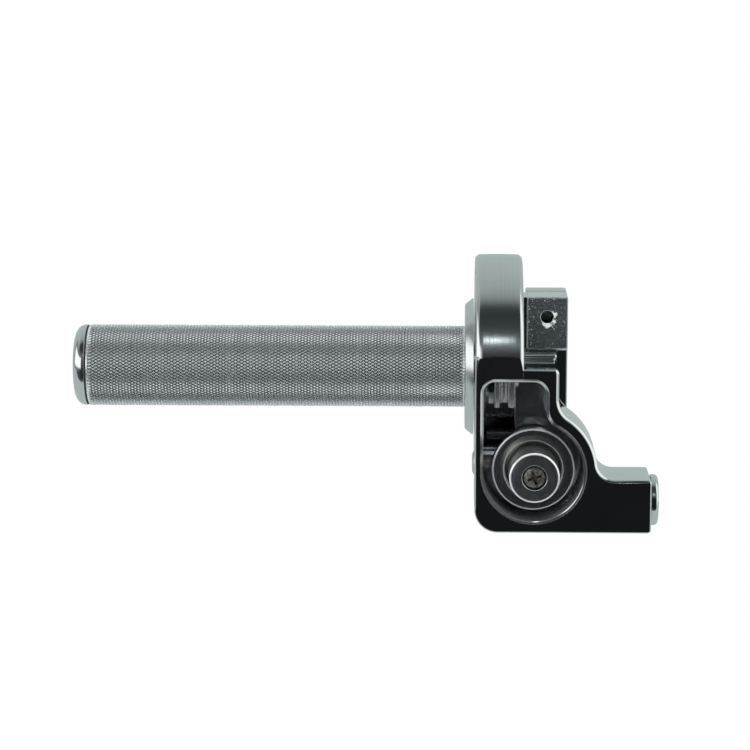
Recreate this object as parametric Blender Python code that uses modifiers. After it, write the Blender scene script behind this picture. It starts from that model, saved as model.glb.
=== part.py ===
"""Throttle grip: a knurled twist tube on a handlebar, with a cable drum in a round collar, a
guide pulley in an open window, a cable adjuster in the arm and a two-piece bar clamp.

The frame's origin is the middle of the grip's closed end face. X runs along the bar from there
to the clamp, -Y is the front, where the window is, and +Z is up. Left is -X and right is +X.

Lengths are in millimetres and the helpers turn them into metres. In the code x is counted from
the collar's left face, and y and z from the bar axis."""

import math
from functools import partial

import bmesh
import bpy
from mathutils import Matrix

for old in list(bpy.data.objects):
    bpy.data.objects.remove(old, do_unlink=True)

MM = 0.001
GRIP_END = 133.0  # end face of the grip to the collar's left face

# tube
BAR_RADIUS = 11.1
BORE_RADIUS = 11.25
TUBE_RADIUS = 13.5
TUBE_INNER_RADIUS = 12.1
SPIGOT_RADIUS = 13.0
SPIGOT_END = 13.2
KNURL_LEFT, KNURL_RIGHT = -128.2, -3.1
END_CAP_STEP = -128.7  # x of the end cap's shoulder, which faces the tube
FLANGE_LEFT, FLANGE_RIGHT = KNURL_RIGHT, -0.3
FLANGE_LEFT_RADIUS, FLANGE_RIGHT_RADIUS = 20.9, 22.8

# collar and its cover
COLLAR_RADIUS = 37.4
COLLAR_LEFT, COLLAR_RIGHT = 0.2, 15.6
CAVITY_RADIUS = 33.5
CAVITY_LEFT, CAVITY_RIGHT = 2.5, 13.4
COVER_RADIUS = 33.9
COVER_BORE_RADIUS = 15.1
COVER_SCREW_CIRCLE = 31.0
COVER_SCREW_ANGLES = (20.0, 95.0, 148.0, 285.0)  # degrees from +Y towards +Z

# box and arm
FRONT_Y, BOX_BACK_Y = -36.2, -14.0
BOX_TOP, BOX_BOTTOM = 9.2, -48.3
BOX_RIGHT = 26.9
LEDGE_X, LEDGE_Z = 14.6, 5.2  # step in the top edge
LEDGE_CORNER = 1.5
BOX_CORNER = 7.5
ARM_TOP, ARM_END = -30.9, 57.0
ARM_FILLET, ARM_CORNER = 6.0, 1.2
RIM = 1.0  # chamfer of the housing's outer edges

# window and pulley, which share one centre line along Y
PULLEY_X, PULLEY_Z = 19.0, -28.3
PULLEY_AT = (PULLEY_X, 0.0, PULLEY_Z)
SHOULDER_RADIUS, SHOULDER_FILLET = 20.6, 8.0
WINDOW_RADIUS, WINDOW_FILLET = 17.2, 6.0
WINDOW_TOP, WINDOW_RIGHT = 2.0, 23.8
WINDOW_LEFT_CORNER, WINDOW_RIGHT_CORNER = 4.7, 5.0
REBATE_WIDTH, REBATE_DEPTH = 1.0, 0.6
FLOOR_Y = -19.0
CABLE_Y = -24.6  # plane that the pulley groove and the drum's front share
PULLEY_RADIUS, PULLEY_REAR_RADIUS = 13.4, 12.4
GROOVE_RADIUS = 9.6
HUB_RADIUS, SHANK_RADIUS = 8.1, 3.9
# distances in front of the bar axis, so they are minus the y values
PULLEY_REAR, PULLEY_FRONT = 21.3, 31.9
HUB_REAR, HUB_FRONT = 30.0, 45.2

# drum; its angles are degrees above the front (-Y) at rest
DRUM_LEFT, DRUM_RIGHT = 6.4, 13.1
DRUM_RADIUS = 27.0
DRUM_GROOVE_RADIUS = 23.6
HUB_RING_RADIUS = 17.0
SECTOR_FROM, SECTOR_TO = -20.0, 100.0
TRAVEL = 75.0
FAN_REACH = 60.0  # radius of the fans that cut out the sector and its lug
PIN_RADIUS = 1.9
PIN_CIRCLE = 24.0
PIN_STEP = math.degrees(math.asin((PIN_RADIUS + 0.3) / PIN_CIRCLE))
PIN_ANGLES = {
    "open_stop_pin": SECTOR_TO + PIN_STEP,
    "closed_stop_pin": SECTOR_FROM - TRAVEL - PIN_STEP,
}
SET_SCREW_X = 4.9
SET_SCREW_ANGLES = (45.0, -60.0)  # degrees from +Z, turned about X

# clamp
CLAMP_LEFT, CLAMP_RIGHT = 17.0, 30.4
CLAMP_HALF_HEIGHT = 25.5
CLAMP_RIM = 0.5
PAD_Y, STRIP_Y = -14.5, -13.5  # front faces of the upper pad and of the strip below it
SPLIT_Y = -1.3
WEB_FRONT_Y, WEB_HALF_HEIGHT = -13.2, 25.2
CAP_FRONT_Y, CAP_BACK_Y = -0.3, 8.6
CAP_RADIUS, CAP_CHAMFER = 16.2, 1.0
BOLT_X, BOLT_Z = 23.6, 18.9
BOLT_PLACES = {
    "upper": (BOLT_X, 0.0, BOLT_Z),
    "lower": (BOLT_X, 0.0, -BOLT_Z),
}

# keeper screw and adjuster
KEEPER_AT = (0.0, CABLE_Y, -27.5)
ADJUSTER_AT = (0.0, CABLE_Y, -39.6)
ADJUSTER_RADIUS, ADJUSTER_HEAD_RADIUS = 5.0, 8.3
ADJUSTER_LEFT = 37.0
ADJUSTER_HEAD_LEFT, ADJUSTER_HEAD_RIGHT = 57.2, 59.7

ON_BAR = (0.0, 0.0, 0.0)

# local axes of a plate or a turned piece, as world directions
AXES = {
    "X": Matrix(((0, 0, 1), (1, 0, 0), (0, 1, 0))),
    "Y": Matrix(((1, 0, 0), (0, 0, -1), (0, 1, 0))),
    "Z": Matrix.Identity(3),
}

scene_collection = bpy.context.scene.collection
parts = bpy.data.collections.new("throttle_grip")
scene_collection.children.link(parts)
cutters = bpy.data.collections.new("cutters")
scene_collection.children.link(cutters)
cutters.hide_render = True


# ---------------------------------------------------------------- materials
def material(name, colour, metallic, roughness):
    mat = bpy.data.materials.new(name)
    mat.use_nodes = True
    shader = mat.node_tree.nodes["Principled BSDF"]
    shader.inputs["Base Color"].default_value = (*colour, 1.0)
    shader.inputs["Metallic"].default_value = metallic
    shader.inputs["Roughness"].default_value = roughness
    return mat


POLISHED = material(
    "polished_aluminium", colour=(0.80, 0.81, 0.83), metallic=1.0, roughness=0.14
)
MACHINED = material(
    "machined_aluminium", colour=(0.72, 0.73, 0.75), metallic=1.0, roughness=0.3
)
KNURLED = material(
    "knurled_aluminium", colour=(0.62, 0.63, 0.64), metallic=1.0, roughness=0.38
)
STEEL = material("plated_steel", colour=(0.66, 0.66, 0.67), metallic=1.0, roughness=0.25)
DARK_STEEL = material(
    "black_oxide_steel", colour=(0.06, 0.06, 0.065), metallic=0.8, roughness=0.4
)
BRONZE = material("bearing_bronze", colour=(0.60, 0.42, 0.22), metallic=1.0, roughness=0.35)
PLASTIC = material(
    "white_bearing_plastic", colour=(0.82, 0.82, 0.78), metallic=0.0, roughness=0.5
)
RUBBER = material("black_seal_rubber", colour=(0.02, 0.02, 0.02), metallic=0.0, roughness=0.7)


def finish(obj, base):
    """Gives the object a material of its own, copied from one of the finishes."""
    mat = base.copy()
    mat.name = obj.name
    obj.data.materials.append(mat)


# ---------------------------------------------------------------- solids
def shift(x, y, z):
    return ((x + GRIP_END) * MM, y * MM, z * MM)


def place(obj, helper):
    if helper:
        cutters.objects.link(obj)
        obj.hide_render = True
        obj.display_type = "WIRE"
    else:
        parts.objects.link(obj)
    return obj


def turned(name, profile, steps, axis="X", at=ON_BAR, helper=False):
    """Revolves (height, radius) pairs about the axis through `at`.
    Heights run along +X, +Z or, for axis Y, along -Y. A profile that starts on the axis also
    ends there and stays open; any other is closed into a loop."""
    area = 0.0
    for (height, radius), (next_height, next_radius) in zip(profile, profile[1:] + profile[:1]):
        area += radius * next_height - next_radius * height
    # one winding for all profiles, so that the faces point outwards
    run = profile if area < 0 else profile[::-1]
    edges = [(i, i + 1) for i in range(len(run) - 1)]
    if profile[0][1] > 0:
        edges.append((len(run) - 1, 0))
    mesh = bpy.data.meshes.new(name)
    mesh.from_pydata([(radius * MM, 0.0, height * MM) for height, radius in run], edges, [])
    obj = bpy.data.objects.new(name, mesh)
    obj.matrix_world = Matrix.Translation(shift(*at)) @ AXES[axis].to_4x4()
    screw = obj.modifiers.new("Screw", "SCREW")
    screw.axis = "Z"
    screw.angle = 2 * math.pi
    screw.steps = steps
    screw.render_steps = steps
    screw.screw_offset = 0
    screw.use_merge_vertices = True
    screw.merge_threshold = 0.00001
    screw.use_smooth_shade = True
    return place(obj, helper)


def rim_profile(inner, outer, start, end, rim):
    """Section from the inner to the outer radius, with optional chamfers on the outer edges."""
    if rim:
        outside = [
            (start, outer - rim),
            (start + rim, outer),
            (end - rim, outer),
            (end, outer - rim),
        ]
    else:
        outside = [(start, outer), (end, outer)]
    return [(start, inner), *outside, (end, inner)]


def disc(name, radius, start, end, steps, axis="X", at=ON_BAR, helper=False, rim=0.0):
    return turned(name, rim_profile(0.0, radius, start, end, rim), steps, axis, at, helper)


def ring(name, inner, outer, start, end, steps, axis="X", at=ON_BAR, rim=0.0):
    return turned(name, rim_profile(inner, outer, start, end, rim), steps, axis, at)


def plate(name, outline, axis, start, end, at=ON_BAR, helper=False, rim=0.0):
    """A closed flat outline extruded along the axis from one coordinate to another.
    Its points are (y, z) pairs for X, (x, z) pairs for Y and (x, y) pairs for Z."""
    curve = bpy.data.curves.new(name, "CURVE")
    curve.dimensions = "2D"
    curve.fill_mode = "BOTH"
    curve.extrude = abs(end - start) / 2 * MM
    spline = curve.splines.new("POLY")
    spline.points.add(len(outline) - 1)
    for point, (across, along) in zip(spline.points, outline):
        point.co = (across * MM, along * MM, 0.0, 1.0)
    spline.use_cyclic_u = True
    flat = bpy.data.objects.new(name + "_outline", curve)
    scene_collection.objects.link(flat)
    bpy.context.view_layer.update()
    mesh = bpy.data.meshes.new_from_object(flat)
    bpy.data.objects.remove(flat, do_unlink=True)

    # local z runs along -Y for axis Y
    middle = (start + end) / 2 * (-1.0 if axis == "Y" else 1.0)
    move = (
        Matrix.Translation(shift(*at))
        @ AXES[axis].to_4x4()
        @ Matrix.Translation((0, 0, middle * MM))
    )
    bm = bmesh.new()
    bm.from_mesh(mesh)
    bmesh.ops.remove_doubles(bm, verts=bm.verts, dist=1e-6)
    bmesh.ops.recalc_face_normals(bm, faces=bm.faces)
    bm.transform(move)
    bm.to_mesh(mesh)
    bm.free()
    mesh.name = name
    obj = bpy.data.objects.new(name, mesh)
    if rim:
        bevel(obj, rim)
    return place(obj, helper)


def helper_block(name, x_range, y_range, z_range):
    ranges = (x_range, y_range, z_range)
    centre = shift(*((low + high) / 2 for low, high in ranges))
    size = Matrix.Diagonal((*((high - low) * MM for low, high in ranges), 1.0))
    bm = bmesh.new()
    bmesh.ops.create_cube(bm, size=1.0)
    bm.transform(Matrix.Translation(centre) @ size)
    mesh = bpy.data.meshes.new(name)
    bm.to_mesh(mesh)
    bm.free()
    return place(bpy.data.objects.new(name, mesh), helper=True)


helper_turned = partial(turned, helper=True)
helper_disc = partial(disc, helper=True)
helper_plate = partial(plate, helper=True)


# ---------------------------------------------------------------- modifiers
def bevel(obj, width):
    mod = obj.modifiers.new("Bevel", "BEVEL")
    mod.width = width * MM
    mod.segments = 1
    mod.limit_method = "ANGLE"
    mod.angle_limit = math.radians(50.0)
    mod.use_clamp_overlap = True


def combine(obj, operation, others):
    for other in others:
        mod = obj.modifiers.new(operation.title(), "BOOLEAN")
        mod.operation = operation
        mod.solver = "EXACT"
        mod.object = other


def cut(obj, *others):
    combine(obj, "DIFFERENCE", others)


def join(obj, *others):
    combine(obj, "UNION", others)


def weld(obj):
    """Closes the hairline gaps that Booleans can leave where faces share a plane."""
    mod = obj.modifiers.new("Weld", "WELD")
    mod.merge_threshold = 0.000004


# ---------------------------------------------------------------- outlines
def arc(centre_x, centre_y, radius, start, end, count):
    """Points on a circle from start to end degrees, ends included."""
    angles = [math.radians(start + (end - start) * i / count) for i in range(count + 1)]
    return [
        (centre_x + radius * math.cos(angle), centre_y + radius * math.sin(angle))
        for angle in angles
    ]


def around(angle, radius):
    """(y, z) on a circle about the bar, counted in degrees from +Y towards +Z."""
    return radius * math.cos(math.radians(angle)), radius * math.sin(math.radians(angle))


def above_front(angle, radius):
    """(y, z) on a circle about the bar, counted in degrees from the front (-Y) upwards."""
    y, z = around(angle, radius)
    return -y, z


def cut_hex_socket(obj, name, radius, axis, start, end, at):
    """Cuts a hexagonal recess; the radius reaches its corners."""
    cut(obj, helper_plate(name, arc(0, 0, radius, 0, 300, 5), axis, start, end, at=at))


def shoulder(right, radius, fillet, count):
    """From a vertical wall at x=right through a hollow fillet to a circle round the pulley axis.
    Returns the fillet's points and the angle, in degrees, where it meets the circle."""
    across = right + fillet - PULLEY_X
    rise = math.sqrt((radius + fillet) ** 2 - across**2)
    meet = math.degrees(math.atan2(rise, across))
    return arc(right + fillet, PULLEY_Z + rise, fillet, 180.0, 180.0 + meet, count), meet


def window_outline(inset):
    radius = WINDOW_RADIUS - inset
    left = PULLEY_X - radius
    right = WINDOW_RIGHT - inset
    top = WINDOW_TOP - inset
    left_corner = WINDOW_LEFT_CORNER - inset
    right_corner = WINDOW_RIGHT_CORNER - inset
    fillet, meet = shoulder(right, radius, WINDOW_FILLET + inset, 6)
    return [
        (left, PULLEY_Z),
        *arc(left + left_corner, top - left_corner, left_corner, 180.0, 90.0, 6),
        *arc(right - right_corner, top - right_corner, right_corner, 90.0, 0.0, 6),
        *fillet,
        *arc(PULLEY_X, PULLEY_Z, radius, meet, -180.0, 34)[1:-1],
    ]


def box_outline():
    fillet_z = ARM_TOP + ARM_FILLET
    rise = fillet_z - PULLEY_Z
    across = math.sqrt((SHOULDER_RADIUS + ARM_FILLET) ** 2 - rise**2)
    low = math.degrees(math.atan2(rise, across))
    fillet, meet = shoulder(BOX_RIGHT, SHOULDER_RADIUS, SHOULDER_FILLET, 8)
    ledge, tip, corner = LEDGE_CORNER, ARM_CORNER, BOX_CORNER
    return [
        (0.0, BOX_TOP),
        (LEDGE_X, BOX_TOP),
        (LEDGE_X, LEDGE_Z),
        *arc(BOX_RIGHT - ledge, LEDGE_Z - ledge, ledge, 90.0, 0.0, 4),
        *fillet,
        *arc(PULLEY_X, PULLEY_Z, SHOULDER_RADIUS, meet, low, 8)[1:],
        *arc(PULLEY_X + across, fillet_z, ARM_FILLET, 180.0 + low, 270.0, 6)[1:],
        (ARM_END, ARM_TOP),
        *arc(ARM_END - tip, BOX_BOTTOM + tip, tip, 0.0, -90.0, 3),
        *arc(corner, BOX_BOTTOM + corner, corner, 270.0, 180.0, 8),
    ]


# ---------------------------------------------------------------- housing
def housing_body():
    """Box and arm, joined to the collar and to the clamp's front half."""
    housing = plate("housing", box_outline(), "Y", FRONT_Y, BOX_BACK_Y, rim=RIM)
    collar = helper_disc(
        "collar_blank", COLLAR_RADIUS, COLLAR_LEFT, COLLAR_RIGHT, steps=76, rim=RIM
    )
    clamp_outline = [
        (PAD_Y, CLAMP_HALF_HEIGHT),
        (SPLIT_Y, CLAMP_HALF_HEIGHT),
        (SPLIT_Y, -CLAMP_HALF_HEIGHT),
        (STRIP_Y, -CLAMP_HALF_HEIGHT),
        (STRIP_Y, 7.2),
        (PAD_Y, 8.2),
    ]
    clamp_front = helper_plate(
        "clamp_front_blank", clamp_outline, "X", CLAMP_LEFT, CLAMP_RIGHT, rim=CLAMP_RIM
    )
    # a web nearly as tall as the clamp joins it to the collar, in front of the split
    web = helper_block(
        "web_blank",
        (COLLAR_RIGHT - 1.0, CLAMP_LEFT + 1.0),
        (WEB_FRONT_Y, SPLIT_Y - 0.4),
        (-WEB_HALF_HEIGHT, WEB_HALF_HEIGHT),
    )
    join(housing, collar, clamp_front, web)
    # the front plane runs on across the collar, with the same left rim
    rim_outline = [(-2.0, -33.24), (2.0, -37.24), (-2.0, -37.24)]
    cut(
        housing,
        helper_block(
            "front_plane", (-2.0, COLLAR_RIGHT + 1.0), (-50.0, FRONT_Y - 0.03), (-12.0, 12.0)
        ),
        helper_plate("front_rim", rim_outline, "Z", -9.6, 8.3),
    )
    return housing


def cut_cavity(housing):
    """Cover seat, collar cavity, washer seat and bar bore in one stepped cutter."""
    seat_radius = COVER_RADIUS + 0.15
    washer_seat_radius = 19.3
    profile = [
        (-1.0, 0.0),
        (-1.0, seat_radius),
        (CAVITY_LEFT, seat_radius),
        (CAVITY_LEFT, CAVITY_RADIUS),
        (CAVITY_RIGHT, CAVITY_RADIUS),
        (CAVITY_RIGHT, washer_seat_radius),
        (CAVITY_RIGHT + 1.0, washer_seat_radius),
        (CAVITY_RIGHT + 1.0, BORE_RADIUS),
        (CLAMP_RIGHT + 2.0, BORE_RADIUS),
        (CLAMP_RIGHT + 2.0, 0.0),
    ]
    cut(housing, helper_turned("hollow", profile, steps=68))
    weld(housing)


def add_screw_bosses(housing):
    """Bosses on the cavity wall, drilled for the cover screws."""
    for i, angle in enumerate(COVER_SCREW_ANGLES, 1):
        at = (0, *around(angle, COVER_SCREW_CIRCLE))
        left, right = CAVITY_LEFT + 0.05, CAVITY_RIGHT + 1.0
        join(housing, helper_disc(f"boss_{i}", 3.0, left, right, steps=20, at=at))
        cut(housing, helper_disc(f"boss_hole_{i}", 1.55, CAVITY_LEFT - 1.0, 10.0, 16, at=at))


def cut_window(housing):
    """A shallow rebate and the pocket behind it."""
    rebate_y = FRONT_Y + REBATE_DEPTH
    cut(
        housing,
        helper_plate("rebate", window_outline(0.0), "Y", FRONT_Y - 2.0, rebate_y),
        helper_plate("pocket", window_outline(REBATE_WIDTH), "Y", FRONT_Y - 2.5, FLOOR_Y),
    )


def drill_housing(housing):
    bore_radius = ADJUSTER_RADIUS + 0.15
    bore_left, bore_right = ADJUSTER_LEFT - 1.0, ARM_END + 1.0
    cut(
        housing,
        # pulley screw, through the pocket's floor
        helper_disc("post_hole", 2.15, 13.0, 20.0, steps=16, axis="Y", at=PULLEY_AT),
        # keeper screw, in the left wall
        helper_disc("keeper_face", 4.6, -2.0, 1.2, steps=24, at=KEEPER_AT),
        helper_disc("keeper_hole", 2.65, -1.0, 4.5, steps=20, at=KEEPER_AT),
        # cable and adjuster, along the arm
        helper_disc("cable_passage", 2.4, 27.0, 38.0, steps=20, at=ADJUSTER_AT),
        helper_disc(
            "adjuster_bore", bore_radius, bore_left, bore_right, steps=32, at=ADJUSTER_AT
        ),
    )
    for tag, at in BOLT_PLACES.items():
        cut(housing, helper_disc(f"bolt_hole_{tag}", 2.65, -4.0, 16.0, 20, axis="Y", at=at))


def add_stop_pins(housing):
    """Two pins that stand in holes in the cavity's right wall."""
    for name, angle in PIN_ANGLES.items():
        at = (0, *above_front(angle, PIN_CIRCLE))
        hole_radius, hole_left = PIN_RADIUS + 0.06, CAVITY_RIGHT - 0.5
        cut(housing, helper_disc(f"{name}_hole", hole_radius, hole_left, 15.0, 16, at=at))
        finish(disc(name, PIN_RADIUS, 4.2, 14.9, steps=16, at=at, rim=0.3), STEEL)


def build_housing():
    housing = housing_body()
    cut_cavity(housing)
    add_screw_bosses(housing)
    cut_window(housing)
    drill_housing(housing)
    add_stop_pins(housing)
    weld(housing)
    finish(housing, POLISHED)


# ---------------------------------------------------------------- collar cover
# (x, radius) profiles
COUNTERSINK = [(-1.0, 0.0), (-1.0, 3.0), (0.45, 3.0), (1.85, 1.6), (3.5, 1.6), (3.5, 0.0)]
COVER_SCREW = [
    (0.35, 0.0), (0.35, 2.75), (0.6, 2.75), (1.95, 1.42), (8.6, 1.42), (9.2, 0.9), (9.2, 0.0),
]


def cover_screw(i, at):
    screw = turned(f"cover_screw_{i}", COVER_SCREW, steps=20, at=at)
    cut_hex_socket(screw, f"cover_screw_socket_{i}", 1.15, "X", -0.5, 1.3, at)
    finish(screw, STEEL)


def build_cover():
    chamfer = 0.4
    right = CAVITY_LEFT - 0.1
    profile = [
        (COLLAR_LEFT, COVER_BORE_RADIUS),
        (COLLAR_LEFT, COVER_RADIUS - chamfer),
        (COLLAR_LEFT + chamfer, COVER_RADIUS),
        (right, COVER_RADIUS),
        (right, COVER_BORE_RADIUS),
    ]
    cover = turned("collar_cover", profile, steps=60)
    for i, angle in enumerate(COVER_SCREW_ANGLES, 1):
        at = (0, *around(angle, COVER_SCREW_CIRCLE))
        cut(cover, helper_turned(f"countersink_{i}", COUNTERSINK, steps=20, at=at))
        cover_screw(i, at)
    # the cover's edge makes room for the keeper screw's head
    cut(cover, helper_disc("cover_scallop", 4.8, -2.0, 4.0, steps=24, at=KEEPER_AT))
    weld(cover)
    finish(cover, POLISHED)
    inner, outer = SPIGOT_RADIUS + 0.1, COVER_BORE_RADIUS - 0.1
    finish(ring("collar_bush", inner, outer, COLLAR_LEFT + 0.1, right - 0.1, 40), PLASTIC)


# ---------------------------------------------------------------- throttle tube
# (x, radius) profile of the end cap's domed outside, from the axis to the shoulder
END_CAP_DOME = [
    (-GRIP_END, 0.0), (-GRIP_END, 6.5), (-132.72, 8.7), (-132.1, 10.6), (-131.2, 12.1),
    (-130.1, 13.1), (-129.3, 13.42), (END_CAP_STEP, TUBE_RADIUS),
]


def build_tube():
    profile = [
        (KNURL_LEFT, TUBE_INNER_RADIUS),
        (KNURL_LEFT, TUBE_RADIUS - 0.3),
        (KNURL_LEFT + 0.3, TUBE_RADIUS),
        (KNURL_RIGHT, TUBE_RADIUS),
        (KNURL_RIGHT, SPIGOT_RADIUS),
        (SPIGOT_END - 0.4, SPIGOT_RADIUS),
        (SPIGOT_END, SPIGOT_RADIUS - 0.4),
        (SPIGOT_END, TUBE_INNER_RADIUS),
    ]
    finish(turned("grip_tube", profile, steps=52), KNURLED)


def build_end_cap():
    """Domed cap with a plug inside the tube, and the seal between cap and tube."""
    plug_radius, plug_end, chamfer = TUBE_INNER_RADIUS - 0.1, -120.0, 0.4
    profile = [
        *END_CAP_DOME,
        (END_CAP_STEP, plug_radius),
        (plug_end - chamfer, plug_radius),
        (plug_end, plug_radius - chamfer),
        (plug_end, 0.0),
    ]
    finish(turned("tube_end_cap", profile, steps=48), POLISHED)
    left, right = END_CAP_STEP + 0.05, KNURL_LEFT - 0.05
    finish(ring("end_cap_seal", TUBE_INNER_RADIUS, 13.2, left, right, steps=40), RUBBER)


def build_flange():
    left, inner = FLANGE_LEFT + 0.02, SPIGOT_RADIUS + 0.05
    profile = [
        (left, inner),
        (left, FLANGE_LEFT_RADIUS - 0.3),
        (left + 0.3, FLANGE_LEFT_RADIUS),
        (FLANGE_RIGHT - 0.5, FLANGE_RIGHT_RADIUS),
        (FLANGE_RIGHT, FLANGE_RIGHT_RADIUS - 0.4),
        (FLANGE_RIGHT, inner),
    ]
    finish(turned("tube_flange", profile, steps=60), POLISHED)


def build_tube_bushes():
    length = 20.0
    inner, outer = BAR_RADIUS + 0.2, TUBE_INNER_RADIUS - 0.05
    for name, left in (("tube_bush_outer", -119.5), ("tube_bush_inner", -8.0)):
        finish(ring(name, inner, outer, left, left + length, steps=36), PLASTIC)


# ---------------------------------------------------------------- cable drum
def keep_fan(blank, name, start, end, count, left, right):
    """Keeps only the part of a ring between two angles above the front."""
    outline = [(0.0, 0.0)]
    for i in range(count + 1):
        outline.append(above_front(start + (end - start) * i / count, FAN_REACH))
    combine(blank, "INTERSECT", [helper_plate(name, outline, "X", left, right)])


def drum_sector():
    """The sector with the cable groove in its rim."""
    inner, chamfer = HUB_RING_RADIUS - 2.0, 0.3
    flank = DRUM_GROOVE_RADIUS + 0.6
    profile = [
        (DRUM_LEFT, inner),
        (DRUM_LEFT, DRUM_RADIUS - chamfer),
        (DRUM_LEFT + chamfer, DRUM_RADIUS),
        (8.0, DRUM_RADIUS),
        (8.45, flank),
        (9.05, DRUM_GROOVE_RADIUS),
        (9.95, DRUM_GROOVE_RADIUS),
        (10.55, flank),
        (11.0, DRUM_RADIUS),
        (DRUM_RIGHT - chamfer, DRUM_RADIUS),
        (DRUM_RIGHT, DRUM_RADIUS - chamfer),
        (DRUM_RIGHT, inner),
    ]
    sector = helper_turned("sector_blank", profile, steps=74)
    left, right = DRUM_LEFT - 2.0, DRUM_RIGHT + 2.0
    keep_fan(sector, "sector_fan", SECTOR_FROM, SECTOR_TO, 6, left, right)
    return sector


def drum_lug():
    """A lug on the sector's left side, at its lower end."""
    left, right = 4.3, DRUM_LEFT + 0.5
    inner, outer = HUB_RING_RADIUS - 1.0, 24.5
    profile = [(left, inner), (left, outer - 0.2), (4.5, outer), (right, outer), (right, inner)]
    lug = helper_turned("lug_blank", profile, steps=70)
    start, end = SECTOR_FROM + 0.4, SECTOR_FROM + 10.0
    keep_fan(lug, "lug_fan", start, end, 2, 3.0, DRUM_LEFT + 2.0)
    return lug


def add_set_screws(drum):
    """Two radial set screws in the hub ring, left of the sector."""
    for i, angle in enumerate(SET_SCREW_ANGLES, 1):
        hole = helper_disc(f"set_hole_{i}", 1.35, 12.0, 19.0, steps=16, axis="Z")
        grub = disc(f"drum_set_screw_{i}", 1.25, 13.2, 16.8, steps=16, axis="Z", rim=0.2)
        socket = helper_disc(f"set_socket_{i}", 0.65, 15.6, 19.0, steps=6, axis="Z")
        # local z points radially outwards
        turn = Matrix.Rotation(math.radians(angle), 4, "X")
        for piece in (hole, grub, socket):
            piece.matrix_world = Matrix.Translation(shift(SET_SCREW_X, 0, 0)) @ turn
        cut(drum, hole)
        cut(grub, socket)
        finish(grub, DARK_STEEL)


def build_drum():
    """A full hub ring with the sector and its lug."""
    left, right = CAVITY_LEFT + 0.8, DRUM_RIGHT - 0.15
    inner = SPIGOT_RADIUS + 0.05
    drum = ring("cable_drum", inner, HUB_RING_RADIUS, left, right, steps=52, rim=0.4)
    join(drum, drum_sector(), drum_lug())
    weld(drum)
    # nipple pocket, open to the groove
    pocket_at = (0, *above_front(84.0, DRUM_GROOVE_RADIUS - 2.2))
    cut(drum, helper_disc("nipple_pocket", 2.6, 5.0, 11.4, steps=20, at=pocket_at))
    add_set_screws(drum)
    weld(drum)
    finish(drum, MACHINED)


def build_thrust_washers():
    # name, clearance round the spigot, outer radius, left and right x
    for name, gap, outer, left, right in (
        ("thrust_washer_left", 0.3, 16.8, CAVITY_LEFT, CAVITY_LEFT + 0.6),
        ("thrust_washer_right", 0.6, 19.1, CAVITY_RIGHT - 0.15, CAVITY_RIGHT + 0.9),
    ):
        finish(ring(name, SPIGOT_RADIUS + gap, outer, left, right, steps=32), PLASTIC)


# ---------------------------------------------------------------- clamp cap and bolts
# (-y, radius) profile, from the head's back face to the tip
CLAMP_BOLT = [
    (-13.6, 0.0), (-13.6, 3.85), (-13.2, 4.25), (-8.7, 4.25),
    (-8.7, 2.5), (8.2, 2.5), (8.8, 1.9), (8.8, 0.0),
]


def clamp_bolt(tag, at):
    bolt = turned(f"clamp_bolt_{tag}", CLAMP_BOLT, steps=20, axis="Y", at=at)
    cut_hex_socket(bolt, f"bolt_socket_{tag}", 2.3, "Y", 11.0, 15.0, at)
    finish(bolt, STEEL)


def build_clamp():
    """The clamp's back half: a flat cap with a round bulge about the bar, and its bolts."""
    bulge_end = 90.0 - math.degrees(math.asin(CAP_BACK_Y / CAP_RADIUS))
    bulge_end = 90.0 - bulge_end  # degrees from +Y... measured below from +Z
    start = 90.0 - bulge_end
    outline = [
        (CAP_FRONT_Y, -CLAMP_HALF_HEIGHT),
        (CAP_FRONT_Y, CLAMP_HALF_HEIGHT),
        (CAP_BACK_Y - CAP_CHAMFER, CLAMP_HALF_HEIGHT),
        (CAP_BACK_Y, CLAMP_HALF_HEIGHT - CAP_CHAMFER),
        *arc(0, 0, CAP_RADIUS, start, -start, 12),
        (CAP_BACK_Y, -CLAMP_HALF_HEIGHT + CAP_CHAMFER),
        (CAP_BACK_Y - CAP_CHAMFER, -CLAMP_HALF_HEIGHT),
    ]
    cap = plate("clamp_cap", outline, "X", CLAMP_LEFT, CLAMP_RIGHT, rim=CLAMP_RIM)
    cut(cap, helper_disc("cap_bore", BORE_RADIUS, CLAMP_LEFT - 2.0, CLAMP_RIGHT + 2.0, 48))
    for tag, at in BOLT_PLACES.items():
        cut(cap, helper_disc(f"cap_hole_{tag}", 2.75, -12.0, 2.0, steps=20, axis="Y", at=at))
        clamp_bolt(tag, at)
    finish(cap, POLISHED)


# ---------------------------------------------------------------- pulley
# (-y, radius) profile, from the tip to the head
PULLEY_SCREW = [
    (15.3, 0.0), (15.3, 1.5), (15.8, 2.0), (43.3, 2.0), (43.3, 3.8),
    (44.3, 3.75), (44.9, 3.1), (45.1, 2.0), (45.15, 0.0),
]
pulley_turned = partial(turned, axis="Y", at=PULLEY_AT)


def build_pulley_hub():
    bore, neck, neck_front = 2.2, 4.0, HUB_FRONT - 2.0
    profile = [
        (19.2, bore),
        (19.2, SHANK_RADIUS),
        (HUB_REAR, SHANK_RADIUS),
        (HUB_REAR, HUB_RADIUS - 0.3),
        (HUB_REAR + 0.3, HUB_RADIUS),
        (HUB_FRONT - 0.7, HUB_RADIUS),
        (HUB_FRONT, HUB_RADIUS - 0.7),
        (HUB_FRONT, neck),
        (neck_front, neck),
        (neck_front, bore),
    ]
    finish(pulley_turned("pulley_hub", profile, steps=36), POLISHED)


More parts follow.
